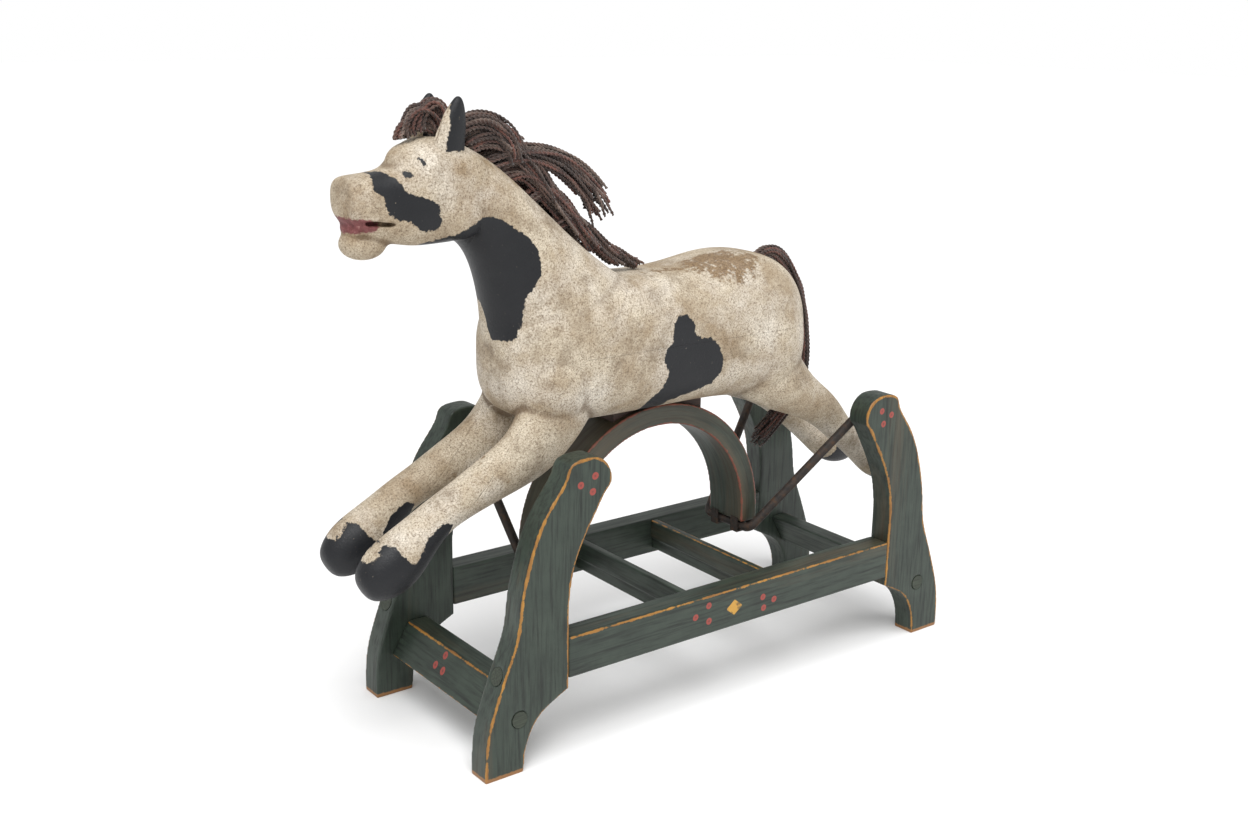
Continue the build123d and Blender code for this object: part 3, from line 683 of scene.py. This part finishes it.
def neck_rings():
    rings = []
    for crest_x, crest_z, throat_x, throat_z, half in NECK:
        run = Vector((crest_x - throat_x, crest_z - throat_z))
        centre = at((crest_x + throat_x) / 2, 0, (crest_z + throat_z) / 2)
        rings.append((centre, math.atan2(-run.y, run.x), run.length / 2000, half / 1000))
    return rings


def limb_rings(table, hand):
    """Rings across a leg or an ear, each facing along its line. Hand is -1 for the left."""
    rings = []
    for i, (x, y, z, deep, wide) in enumerate(table):
        before, after = table[max(i - 1, 0)], table[min(i + 1, len(table) - 1)]
        lean = math.atan2(after[0] - before[0], after[2] - before[2])
        rings.append((at(x, hand * y, z), lean, deep / 1000, wide / 1000))
    return rings


def ball(name, x, y, z, deep, wide, tall, lean):
    nothing_selected()
    bpy.ops.mesh.primitive_uv_sphere_add(segments=32, ring_count=20, radius=1,
                                         location=at(x, y, z),
                                         rotation=(0, math.radians(lean), 0),
                                         scale=(deep / 1000, wide / 1000, tall / 1000))
    obj = bpy.context.object
    obj.name = name
    bpy.ops.object.transform_apply(location=True, rotation=True, scale=True)
    return obj


def carved_horse():
    """The whole horse as one sanded surface, before it is cut at its glue joints."""
    horse = bpy.context.scene.horse_settings
    forms = [ring_form("trunk", upright_rings(TRUNK), fullness=1.13),
             ring_form("neck", neck_rings()),
             ring_form("head", upright_rings(HEAD), fullness=1.12)]
    for hand in (-1, 1):
        forms.append(ring_form("front_leg", limb_rings(FRONT_LEG, hand)))
        forms.append(ring_form("hind_leg", limb_rings(HIND_LEG, hand)))
    forms += [ball(*row) for row in SWELLINGS]
    skin = joined(forms, "horse_skin")
    apply_modifier(skin, "REMESH", mode="VOXEL", voxel_size=horse.grain)
    apply_modifier(skin, "SMOOTH", factor=0.5, iterations=horse.softening)
    for row in CUTS:
        cutter = ball(*row)
        apply_modifier(skin, "BOOLEAN", operation="DIFFERENCE", object=cutter, solver="EXACT")
        bpy.data.objects.remove(cutter)
    apply_modifier(skin, "REMESH", mode="VOXEL", voxel_size=horse.grain)
    apply_modifier(skin, "SMOOTH", factor=0.5, iterations=3)
    return skin


# the near and far patches meet this far either side of the crest
PATCH_MEETING = 9
# a point facing straight down gets painted shade, as dark as the dirt in a crease this deep
UNDERSIDE_SHADE = 0.34


def paint_horse(mesh):
    """Where the patches, lips, wear and dirt lie, and the painted shade on the undersides, stored
    on the mesh's points.
    """
    mm = to_mm(points_of(mesh))
    x, y, z = mm.T
    near = np.max([outline_depth(x, z, outline) for outline in NEAR_PATCHES], axis=0)
    far = np.max([outline_depth(x, z, outline) for outline in FAR_PATCHES], axis=0)
    across = np.clip((y + PATCH_MEETING) / (2 * PATCH_MEETING), 0, 1)
    black = near * (1 - across) + far * across
    hooves = np.max([outline_depth(x, z, outline) for outline in HOOVES], axis=0)
    store(mesh, "black", np.maximum(black, hooves))
    store(mesh, "lips", outline_depth(x, z, LIPS))
    # painted shade: the more a point faces down, the darker it is painted, added to the dirt of
    # the hollows
    facing = np.empty(len(mm) * 3, np.float32)
    mesh.vertex_normals.foreach_get("vector", facing)
    under = np.clip(-facing.reshape(-1, 3)[:, 2], 0, 1)
    store(mesh, "hollow_dirt_and_underside_shade", hollows(mesh, 16) + UNDERSIDE_SHADE * under)
    # each worn area fades from its middle over its own reach
    seat = np.exp(-((x - 52) / 72) ** 2 - ((z - 564) / 40) ** 2 - ((y + 36) / 60) ** 2)
    back = np.exp(-((x + 70) / 60) ** 2 - ((z - 566) / 26) ** 2 - ((y + 18) / 45) ** 2)
    haunch = np.exp(-((x - 150) / 46) ** 2 - ((z - 500) / 58) ** 2) * (y < 0)
    shins = np.exp(-((x + 330) / 90) ** 2) * (z < 385) * (z > 285)
    wear = seat * 1.3 + back * 0.76 + haunch * 0.74 + shins * 0.72
    store(mesh, "worn", np.clip(wear, 0, 1))


def parted(obj, name, point, facing, side):
    """A closed copy of the part of obj on one side of a plane."""
    part = copy_of(obj, name)
    only(part)
    bpy.ops.object.mode_set(mode="EDIT")
    bpy.ops.mesh.select_all(action="SELECT")
    bpy.ops.mesh.bisect(plane_co=point, plane_no=facing, use_fill=True,
                        clear_inner=side > 0, clear_outer=side < 0)
    bpy.ops.object.mode_set(mode="OBJECT")
    return part


class ROCKING_HORSE_OT_horse(bpy.types.Operator):
    """Carve the horse as one surface and cut it at its glue joints"""
    bl_idname = "rocking_horse.horse"
    bl_label = "Carved Horse"

    def execute(self, context):
        skin = carved_horse()
        only(skin)
        bpy.ops.object.shade_smooth()
        neck_seat = at(-120, 0, 563), Vector((-85, 0, 175))
        front_seat = at(-245, 0, 387), Vector((-0.68, 0, -0.73))
        hind_seat = at(190, 0, 372), Vector((0.9, 0, -0.43))
        head_seat = at(-332, 0, 0), Vector((1, 0, 0))
        body_seat = at(0, 0, 478), Vector((0, 0, 1))
        upper = parted(skin, "upper", *neck_seat, 1)
        trunk = parted(skin, "trunk", *neck_seat, -1)
        pieces = {
            "head": parted(upper, "head", *head_seat, -1),
            "neck": parted(upper, "neck", *head_seat, 1),
            "body_upper": parted(trunk, "body_upper", *body_seat, 1),
        }
        lower = parted(trunk, "lower", *body_seat, -1)
        fore = parted(lower, "fore", *front_seat, 1)
        rest = parted(lower, "rest", *front_seat, -1)
        hind = parted(rest, "hind", *hind_seat, 1)
        pieces["body_lower"] = parted(rest, "body_lower", *hind_seat, -1)
        for name, pair in (("leg_front", fore), ("leg_hind", hind)):
            for hand_name, side in (("left", -1), ("right", 1)):
                pieces[f"{name}_{hand_name}"] = parted(
                    pair, f"{name}_{hand_name}", Vector((0, 0, 0)), Vector((0, 1, 0)), side)
        for scrap in (skin, upper, trunk, lower, fore, rest, hind):
            bpy.data.objects.remove(scrap)
        paint = craquelured_cream_oil_paint()
        blocks = {"head": "head_block", "neck": "neck_block", "body_upper": "body_upper_block",
                  "body_lower": "body_lower_block"}
        for name, piece in pieces.items():
            if not piece.data.polygons:
                raise RuntimeError(f"the horse has no {name}")
            piece.name = f"carved_{name}"
            paint_horse(piece.data)
            kept(piece, paint, "horse", "cream_paint", blocks.get(name, name))
        return {"FINISHED"}


class ROCKING_HORSE_OT_ears(bpy.types.Operator):
    """Carve the two ears, hollowed at the front and black outside"""
    bl_idname = "rocking_horse.ears"
    bl_label = "Ears"

    def execute(self, context):
        paint = bpy.data.materials["craquelured_cream_oil_paint"]
        for name, hand in (("ear_left", -1), ("ear_right", 1)):
            ear = ring_form(f"carved_{name}", limb_rings(EAR, hand), sides=24)
            scoop = ball("scoop", -384, hand * 27, 764, 14, 6, 24, 12)
            apply_modifier(ear, "BOOLEAN", operation="DIFFERENCE", object=scoop, solver="EXACT")
            bpy.data.objects.remove(scoop)
            apply_modifier(ear, "REMESH", mode="VOXEL", voxel_size=0.0011)
            apply_modifier(ear, "SMOOTH", factor=0.5, iterations=4)
            smooth_shaded(ear)
            x, _, z = to_mm(points_of(ear.data)).T
            # bare tan along the front edge and at the foot
            front = (x + 371) - 0.18 * (z - 745)
            store(ear.data, "black", np.minimum(front, z - 733))
            store(ear.data, "lips", np.full(len(x), -FAR_OFF))
            store(ear.data, "hollow_dirt_and_underside_shade", hollows(ear.data, 14))
            store(ear.data, "worn", np.zeros(len(x)))
            kept(ear, paint, "horse", "black_paint", name)
        return {"FINISHED"}


# ---------------------------------------------------------------- stand


POST_DOTS = {"front": [(-244, 358), (-265, 350), (-247.5, 339)],
             "rear": [(248.5, 360), (268, 352), (253, 341)]}
RAIL_DOTS = [(-80, 134), (-58, 145), (-57, 123), (38, 134), (58.5, 126), (40, 118)]
DIAMOND = [(-27, 132), (-13, 143), (1, 132), (-13, 121)]
STRETCHER_DOTS = [(13, 92), (24, 77), (5, 76)]
PLUG_SPOTS = [(-352, 71), (350, 81)]
PLUG_CLEARANCE = 14
# how deep the outer face's paint marks reach, and how far the lines run along each board
FACE_DEPTH = 3
RAIL_MIDDLE_Z, RAIL_REACH = 130, 278
BOARD_REACH, STRETCHER_FACE_X = 118, -330
# the hoop's arc: its middle, the radius between its faces, and where its straight feet begin
HOOP_MIDDLE, HOOP_RADIUS, HOOP_TOP_Z = (-51, 208), 170, 215
# the radius, in metres, at which its grain is measured along the bend
HOOP_GRAIN_RADIUS = 0.166
# a normal's share along an axis: a face square on to it, and one that leans
SQUARE_ON, LEANING = 0.99, 0.8
# points along an edge are this far apart
EDGE_STEP = 1.5
# the grain is drawn out along a board by 1 over this
GRAIN_DRAW = 0.06


def merged_copy(node, name):
    """A copy of a node's mesh with its loose triangles merged."""
    copy = copy_of(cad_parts[node], name)
    copy.data.materials.clear()
    only(copy)
    bpy.ops.object.mode_set(mode="EDIT")
    bpy.ops.mesh.select_all(action="SELECT")
    bpy.ops.mesh.remove_doubles(threshold=1e-5)
    bpy.ops.object.mode_set(mode="OBJECT")
    return copy


def edge_points(obj, is_outer, is_wanted):
    """Points along the border of the faces that is_outer picks, where is_wanted agrees."""
    shape = bmesh.new()
    shape.from_mesh(obj.data)
    points = []
    for edge in shape.edges:
        if len(edge.link_faces) != 2:
            continue
        outer = [is_outer(face.normal, to_mm(np.array(face.calc_center_median())))
                 for face in edge.link_faces]
        if outer[0] == outer[1]:
            continue
        a, b = (to_mm(np.array(vert.co)) for vert in edge.verts)
        steps = max(1, int(np.linalg.norm(b - a) / EDGE_STEP))
        for k in range(steps + 1):
            point = a + (b - a) * k / steps
            if is_wanted(point):
                points.append(point)
    shape.free()
    return points


def distance_to(points, mm):
    if not points:
        return np.full(len(mm), FAR_OFF)
    tree = kdtree.KDTree(len(points))
    for i, point in enumerate(points):
        tree.insert(Vector(point), i)
    tree.balance()
    return np.array([tree.find(Vector(p))[2] for p in mm])


def worn_board(node, grain_axis, rims, reds=(), voxel=0.002, thinner=0.0):
    """A board with softened edges, and its points' distances from the edges that carry a line.
    thinner is taken off the line's width, in millimetres."""
    board = merged_copy(node, f"board_{node}")
    rim_points, red_points = ([p for is_outer, is_wanted in edges
                               for p in edge_points(board, is_outer, is_wanted)]
                              for edges in (rims, reds))
    apply_modifier(board, "REMESH", mode="VOXEL", voxel_size=voxel)
    apply_modifier(board, "SMOOTH", factor=0.5, iterations=2)
    smooth_shaded(board)
    mesh = board.data
    mm = to_mm(points_of(mesh))
    store(mesh, "rim", distance_to(rim_points, mm) + thinner)
    store(mesh, "red_rim", distance_to(red_points, mm))
    grain = mm / 1000
    grain[:, grain_axis] *= GRAIN_DRAW
    layer = mesh.attributes.new("grain", "FLOAT_VECTOR", "POINT")
    layer.data.foreach_set("vector", grain.astype(np.float32).ravel())
    return board, mm


def paint_marks(board, mm, on_face=None, axes=(0, 2), dots=(), diamond=None):
    """Distances from the painted dots' middles and into the diamond, on the board's outer face."""
    u, v = mm[:, axes[0]], mm[:, axes[1]]
    near = np.full(len(mm), FAR_OFF)
    for dot_u, dot_v in dots:
        near = np.minimum(near, np.hypot(u - dot_u, v - dot_v))
    inside = np.full(len(mm), -FAR_OFF) if diamond is None else outline_depth(u, v, diamond)
    if on_face is not None:
        near = np.where(on_face, near, FAR_OFF)
        inside = np.where(on_face, inside, -FAR_OFF)
    store(board.data, "dots", near)
    store(board.data, "diamond", inside)


class ROCKING_HORSE_OT_stand(bpy.types.Operator):
    """Soften the stand's boards and paint them green with ochre edges and dots"""
    bl_idname = "rocking_horse.stand"
    bl_label = "Painted Stand"

    def execute(self, context):
        paint = brushed_green_oil_paint()
        clear_of_plugs = lambda p: all(math.hypot(p[0] - x, p[2] - z) > PLUG_CLEARANCE
                                       for x, z in PLUG_SPOTS)
        between_posts = lambda p: abs(p[1]) < BOARD_REACH
        for hand_name, hand in (("left", -1), ("right", 1)):
            outer = (lambda n, c, hand=hand: n.y * hand > SQUARE_ON
                     and c[1] * hand > STAND_SIDE - 1)
            for end_name in ("front", "rear"):
                node = f"post_{end_name}_{hand_name}"
                board, mm = worn_board(node, 2, [(outer, clear_of_plugs)])
                face = mm[:, 1] * hand > STAND_SIDE - FACE_DEPTH
                paint_marks(board, mm, face, dots=POST_DOTS[end_name])
                kept(board, paint, "stand", "green_paint", node)
            node = f"rail_{hand_name}"
            along_top = lambda p: p[2] > RAIL_MIDDLE_Z and abs(p[0]) < RAIL_REACH
            board, mm = worn_board(node, 0, [(outer, along_top)], thinner=0.5)
            face = mm[:, 1] * hand > STAND_SIDE - FACE_DEPTH
            paint_marks(board, mm, face, dots=RAIL_DOTS, diamond=DIAMOND)
            kept(board, paint, "stand", "green_paint", node)
        for end_name, end in (("front", -1), ("rear", 1)):
            node = f"stretcher_{end_name}"
            outer = (lambda n, c, end=end: n.x * end > LEANING)
            board, mm = worn_board(node, 1, [(outer, between_posts)], thinner=0.5)
            spots = STRETCHER_DOTS if end < 0 else []
            paint_marks(board, mm, mm[:, 0] < STRETCHER_FACE_X, (1, 2), spots)
            kept(board, paint, "stand", "green_paint", node)
            # only the rear slat has a line left, and it is thin
            node = f"slat_{end_name}"
            top = (lambda n, c: n.z > LEANING)
            rims = [(top, between_posts)] if end > 0 else []
            board, mm = worn_board(node, 1, rims, voxel=0.0014, thinner=1.0)
            paint_marks(board, mm)
            kept(board, paint, "stand", "green_paint", node)
        side = (lambda n, c: abs(n.y) > SQUARE_ON)
        reach_of = lambda p: math.hypot(p[0] - HOOP_MIDDLE[0], p[2] - HOOP_MIDDLE[1])
        on_top = lambda p: p[2] > HOOP_TOP_Z and reach_of(p) > HOOP_RADIUS
        inside = lambda p: reach_of(p) < HOOP_RADIUS - 10
        board, mm = worn_board("hoop", 0, [], [(side, on_top), (side, inside)])
        # the brush went round the hoop
        turn = np.arctan2(mm[:, 2] - HOOP_MIDDLE[1], mm[:, 0] - HOOP_MIDDLE[0])
        reach = np.hypot(mm[:, 2] - HOOP_MIDDLE[1], mm[:, 0] - HOOP_MIDDLE[0]) / 1000
        grain = np.stack([reach, mm[:, 1] / 1000, turn * HOOP_GRAIN_RADIUS * GRAIN_DRAW], axis=1)
        board.data.attributes["grain"].data.foreach_set("vector", grain.astype(np.float32).ravel())
        paint_marks(board, mm)
        kept(board, paint, "horse", "green_paint", "hoop")
        return {"FINISHED"}


class ROCKING_HORSE_OT_fittings(bpy.types.Operator):
    """Finish the irons, straps, screws, bushes, plugs and packing blocks"""
    bl_idname = "rocking_horse.fittings"
    bl_label = "Irons and Small Parts"

    def execute(self, context):
        iron = rusty_wrought_iron()
        steel = turned_steel()
        bush = stained_softwood("oiled_bush_wood", "#6b4a3a", "#3f2a22")
        packing = stained_softwood("dark_packing_wood", "#4a3329", "#241a16")
        plug = stained_softwood("green_stained_plug", "#3d4538", "#262a22")
        finishes = {
            iron: ["swing_iron_front", "swing_iron_rear", "strap_front", "strap_rear",
                   "strap_nails"],
            steel: ["stretcher_screws", "rail_screws", "hoop_screws"],
            bush: ["pivot_bushes", "leg_dowels"],
            packing: ["packing_block_front", "packing_block_rear"],
            plug: ["stretcher_plugs", "rail_plugs"],
        }
        for material, nodes in finishes.items():
            for node in nodes:
                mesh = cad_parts[node].data
                mesh.materials.clear()
                mesh.materials.append(material)
        return {"FINISHED"}


# ---------------------------------------------------------------- yarn


# locks of yarn: points down the middle of the lock as x, y, z, how many strands, how far they
# spread at the root and at the tip, and how unequal their lengths are
MANE_LOCKS = [
    ([(-346, 2, 742), (-330, 1, 759), (-306, 0, 764), (-282, 0, 755), (-264, -1, 738),
      (-254, -2, 712)], 56, 10, 15, 0.16),
    ([(-322, 2, 734), (-298, 1, 746), (-270, 0, 738), (-244, 0, 716), (-222, -1, 690),
      (-204, -2, 664)], 40, 11, 13, 0.12),
    ([(-296, 4, 712), (-266, 2, 724), (-232, 0, 724), (-198, -2, 714), (-168, -3, 696),
      (-142, -4, 668), (-126, -5, 638)], 58, 12, 21, 0.24),
    ([(-276, 4, 696), (-254, 3, 706), (-230, 1, 694), (-206, 0, 672), (-184, -1, 648),
      (-164, -2, 624)], 38, 11, 13, 0.2),
    ([(-240, 4, 664), (-220, 3, 680), (-198, 2, 672), (-180, 1, 648), (-160, 1, 624),
      (-136, 1, 600)], 42, 10, 13, 0.2),
    ([(-202, 4, 630), (-180, 3, 644), (-156, 2, 630), (-136, 2, 608), (-114, 2, 590),
      (-92, 2, 578)], 38, 10, 10, 0.16),
    ([(-160, 4, 596), (-140, 3, 608), (-118, 3, 598), (-98, 3, 586), (-80, 3, 577),
      (-65, 3, 572)], 26, 8, 6, 0.12),
    ([(-318, 12, 726), (-298, 18, 738), (-276, 22, 718), (-260, 24, 690), (-248, 25, 664)],
     24, 7, 9, 0.16),
    ([(-272, 12, 686), (-250, 18, 700), (-228, 22, 680), (-214, 24, 652), (-202, 25, 626)],
     24, 7, 9, 0.16),
    ([(-226, 12, 648), (-204, 18, 660), (-182, 22, 640), (-168, 24, 614), (-156, 25, 592)],
     22, 7, 9, 0.16),
]
FORELOCK_LOCKS = [
    ([(-356, 0, 742), (-351, 0, 768), (-359, 0, 784), (-376, 0, 784), (-386, 0, 768),
      (-384, 0, 752)], 40, 9, 9, 0.1),
    ([(-360, 0, 742), (-364, 0, 766), (-378, 0, 779), (-394, 0, 772), (-402, 0, 758),
      (-400, 0, 748)], 30, 8, 8, 0.1),
    ([(-352, 0, 746), (-364, 0, 758), (-384, 0, 763), (-402, 0, 762), (-410, 0, 753),
      (-412, 0, 744)], 12, 6, 4, 0.08),
]
TAIL_LOCKS = [
    ([(134, 0, 556), (146, 0, 568), (164, 0, 572), (186, 0, 562), (207, 0, 539), (225, 0, 506),
      (235, 0, 466), (239, 0, 425), (236, 0, 384), (220, 0, 348), (188, 0, 318),
      (152, 0, 294)], 26, 6, 15, 0.04),
    ([(136, 0, 556), (150, 0, 569), (168, 0, 571), (188, 0, 560), (209, 0, 536), (227, 0, 502),
      (237, 0, 462), (240, 0, 420), (234, 0, 380), (214, 0, 344), (178, 0, 316)],
     18, 7, 13, 0.05),
]


# how far a strand wanders, in metres, how far a lock turns, in radians, and the least share
# of a lock's last run that a short strand keeps
STRAND_WANDER, LOCK_TURN, LEAST_RUN = 0.0021, 1.5, 0.15
STEPS_PER_TURN = 6


def yarn_profile(radius):
    """The cross-section of two plies side by side."""
    curve = bpy.data.curves.new("yarn_profile", "CURVE")
    curve.dimensions = "2D"
    spline = curve.splines.new("POLY")
    waist = (1.0, 0.76, 0.42, 0.76)
    spline.points.add(7)
    for i, point in enumerate(spline.points):
        turn = i * math.pi / 4
        reach = radius * waist[i % 4]
        point.co = (reach * math.cos(turn), reach * math.sin(turn), 0, 1)
    spline.use_cyclic_u = True
    profile = bpy.data.objects.new("yarn_profile", curve)
    bpy.context.scene.collection.objects.link(profile)
    return profile


def yarn_locks(name, locks, rng, materials):
    """One mesh of twisted strands, gathered in locks."""
    yarn = bpy.context.scene.yarn_settings
    profile = yarn_profile(yarn.radius)
    curve = bpy.data.curves.new(name, "CURVE")
    curve.dimensions = "3D"
    curve.bevel_mode = "OBJECT"
    curve.bevel_object = profile
    curve.use_fill_caps = True
    for material in materials:
        curve.materials.append(material)
    for line, count, root_spread, tip_spread, uneven in locks:
        middle = [at(*point) for point in line]
        for _ in range(count):
            # spread evenly over the lock's round section
            turn, reach = rng.uniform(0, 2 * math.pi), math.sqrt(rng.random())
            bend = rng.uniform(-LOCK_TURN, LOCK_TURN)
            end = 1 - rng.uniform(0, uneven)
            points = []
            for i, centre in enumerate(middle):
                share = i / (len(middle) - 1)
                if share > end:
                    before = middle[i - 1]
                    share_before = (i - 1) / (len(middle) - 1)
                    part = max(LEAST_RUN, (end - share_before) / (share - share_before))
                    centre = before.lerp(centre, part)
                spread = (root_spread + (tip_spread - root_spread) * share) / 1000
                angle = turn + bend * share
                along = (middle[min(i + 1, len(middle) - 1)] - middle[max(i - 1, 0)]).normalized()
                level = Vector((0, 1, 0))
                up = along.cross(level).normalized()
                jitter = Vector([rng.gauss(0, STRAND_WANDER) for _ in range(3)])
                points.append(centre + reach * spread * (math.cos(angle) * up
                              + math.sin(angle) * level) + jitter)
                if share > end:
                    break
            strand(curve, points, yarn.pitch, rng.randrange(len(materials)))
    obj = bpy.data.objects.new(name, curve)
    bpy.context.scene.collection.objects.link(obj)
    only(obj)
    bpy.ops.object.convert(target="MESH")
    bpy.data.objects.remove(profile)
    smooth_shaded(obj)
    return obj


def strand(curve, points, pitch, shade):
    lengths = [0.0]
    for a, b in zip(points, points[1:]):
        lengths.append(lengths[-1] + (b - a).length)
    spline = curve.splines.new("NURBS")
    spline.points.add(len(points) - 1)
    for point, place, length in zip(spline.points, points, lengths):
        point.co = (*place, 1)
        point.tilt = 2 * math.pi * length / pitch
    spline.order_u = 4
    spline.use_endpoint_u = True
    spline.material_index = shade
    run = lengths[-1] / (len(points) - 1)
    spline.resolution_u = max(2, round(run / (pitch / STEPS_PER_TURN)))


class ROCKING_HORSE_OT_yarn(bpy.types.Operator):
    """Lay the twisted yarn of the mane, the forelock and the tail"""
    bl_idname = "rocking_horse.yarn"
    bl_label = "Yarn Mane and Tail"

    def execute(self, context):
        rng = random.Random(context.scene.yarn_settings.seed)
        wools = [wool_yarn("wool_yarn_brown", "#5f463c", "#352520"),
                 wool_yarn("wool_yarn_russet", "#6e4438", "#402722"),
                 wool_yarn("wool_yarn_grey_brown", "#74635a", "#45372f"),
                 wool_yarn("wool_yarn_dark", "#483730", "#271d1a")]
        pieces = {
            "mane_poll": (MANE_LOCKS[:2], "mane"),
            "mane_sweep": (MANE_LOCKS[2:4], "mane"),
            "mane_crest": (MANE_LOCKS[4:7], "mane"),
            "mane_far_side": (MANE_LOCKS[7:], "mane"),
            "forelock_yarn": (FORELOCK_LOCKS, "forelock"),
            "tail_yarn": (TAIL_LOCKS, "tail"),
        }
        for name, (locks, node) in pieces.items():
            piece = yarn_locks(name, locks, rng, wools)
            if not piece.data.polygons:
                raise RuntimeError(f"no yarn was made for {name}")
            kept(piece, None, "horse", "yarn", node)
        return {"FINISHED"}


# ---------------------------------------------------------------- stage


FLOOR_SIZE = 40
# the white surroundings: how strongly they light the horse, and how bright they look behind it
SURROUND_LIGHT, SURROUND_SEEN = 0.62, 1.0
SUN_STRENGTH, SUN_SPREAD = 2.1, math.radians(45)
SUN_TILT = (math.radians(18), math.radians(-16), 0)
# place, size and power of the two soft lamps, and the point that they face
LAMPS = {"key": ((-1.0, -1.4, 2.4), 1.2, 16), "side": ((1.9, -1.6, 1.3), 0.9, 6)}
LAMP_TARGET = Vector((0, 0, 0.35))
CAMERA_PLACE, CAMERA_TARGET = Vector((-1.1552, -1.4505, 0.8924)), Vector((-0.03975, 0, 0.3702))
CAMERA_ROLL, CAMERA_LENS = math.radians(1.01), 41.3


class ROCKING_HORSE_OT_stage(bpy.types.Operator):
    """Set the pale floor, the soft lights and the camera"""
    bl_idname = "rocking_horse.stage"
    bl_label = "Stage"

    def execute(self, context):
        scene = context.scene
        nothing_selected()
        bpy.ops.mesh.primitive_plane_add(size=FLOOR_SIZE, location=(0, 0, 0))
        floor = context.object
        floor.name = "floor"
        material, _, shader = new_material("matt_white_floor")
        shader.inputs["Base Color"].default_value = linear("#f4f4f4")
        shader.inputs["Roughness"].default_value = 0.9
        shader.inputs["Specular IOR Level"].default_value = 0.1
        floor.data.materials.append(material)

        world = bpy.data.worlds.new("soft_white")
        world.use_nodes = True
        seen = add(world.node_tree, "ShaderNodeLightPath").outputs["Is Camera Ray"]
        strength = add(world.node_tree, "ShaderNodeMapRange",
                       {"To Min": SURROUND_LIGHT, "To Max": SURROUND_SEEN}, {"Value": seen})
        sky_shader = world.node_tree.nodes["Background"]
        sky_shader.inputs["Color"].default_value = (1, 1, 1, 1)
        world.node_tree.links.new(strength.outputs[0], sky_shader.inputs["Strength"])
        scene.world = world
        sun = bpy.data.lights.new("sky_light", "SUN")
        sun.energy = SUN_STRENGTH
        sun.angle = SUN_SPREAD
        sky = bpy.data.objects.new("sky_light", sun)
        sky.rotation_euler = SUN_TILT
        scene.collection.objects.link(sky)
        for name, (place, size, power) in LAMPS.items():
            data = bpy.data.lights.new(name, "AREA")
            data.shape = "DISK"
            data.size = size
            data.energy = power
            lamp = bpy.data.objects.new(name, data)
            lamp.location = place
            aim = LAMP_TARGET - Vector(place)
            lamp.rotation_euler = aim.to_track_quat("-Z", "Y").to_euler()
            scene.collection.objects.link(lamp)

        data = bpy.data.cameras.new("camera")
        data.lens = CAMERA_LENS
        camera = bpy.data.objects.new("camera", data)
        level = (CAMERA_TARGET - CAMERA_PLACE).to_track_quat("-Z", "Y")
        roll = Euler((0, 0, CAMERA_ROLL)).to_quaternion()
        camera.location = CAMERA_PLACE
        camera.rotation_euler = (level @ roll).to_euler()
        scene.collection.objects.link(camera)
        scene.camera = camera
        scene.view_settings.view_transform = "Standard"
        return {"FINISHED"}


class ROCKING_HORSE_PT_panel(bpy.types.Panel):
    bl_label = "Rocking Horse"
    bl_idname = "ROCKING_HORSE_PT_panel"
    bl_space_type = "VIEW_3D"
    bl_region_type = "UI"
    bl_category = "Rocking Horse"

    def draw(self, context):
        layout = self.layout
        for group, operators in (("horse_settings", ("horse", "ears")),
                                 ("stand_settings", ("stand", "fittings")),
                                 ("yarn_settings", ("yarn",)), (None, ("stage",))):
            if group:
                settings = getattr(context.scene, group)
                for key in settings.bl_rna.properties.keys():
                    if key not in ("rna_type", "name"):
                        layout.prop(settings, key)
            for operator in operators:
                layout.operator(f"rocking_horse.{operator}")


SETTINGS = {"horse_settings": HorseSettings, "stand_settings": StandSettings,
            "yarn_settings": YarnSettings}
CLASSES = [*SETTINGS.values(), ROCKING_HORSE_OT_horse, ROCKING_HORSE_OT_ears,
           ROCKING_HORSE_OT_stand, ROCKING_HORSE_OT_fittings, ROCKING_HORSE_OT_yarn,
           ROCKING_HORSE_OT_stage, ROCKING_HORSE_PT_panel]


def register():
    for cls in CLASSES:
        bpy.utils.register_class(cls)
    for name, cls in SETTINGS.items():
        setattr(bpy.types.Scene, name, PointerProperty(type=cls))


def unregister():
    for name in SETTINGS:
        delattr(bpy.types.Scene, name)
    for cls in reversed(CLASSES):
        bpy.utils.unregister_class(cls)


def main():
    register()
    bpy.ops.rocking_horse.horse()
    bpy.ops.rocking_horse.ears()
    bpy.ops.rocking_horse.stand()
    bpy.ops.rocking_horse.fittings()
    bpy.ops.rocking_horse.yarn()
    bpy.ops.rocking_horse.stage()


if __name__ == "__main__":
    main()
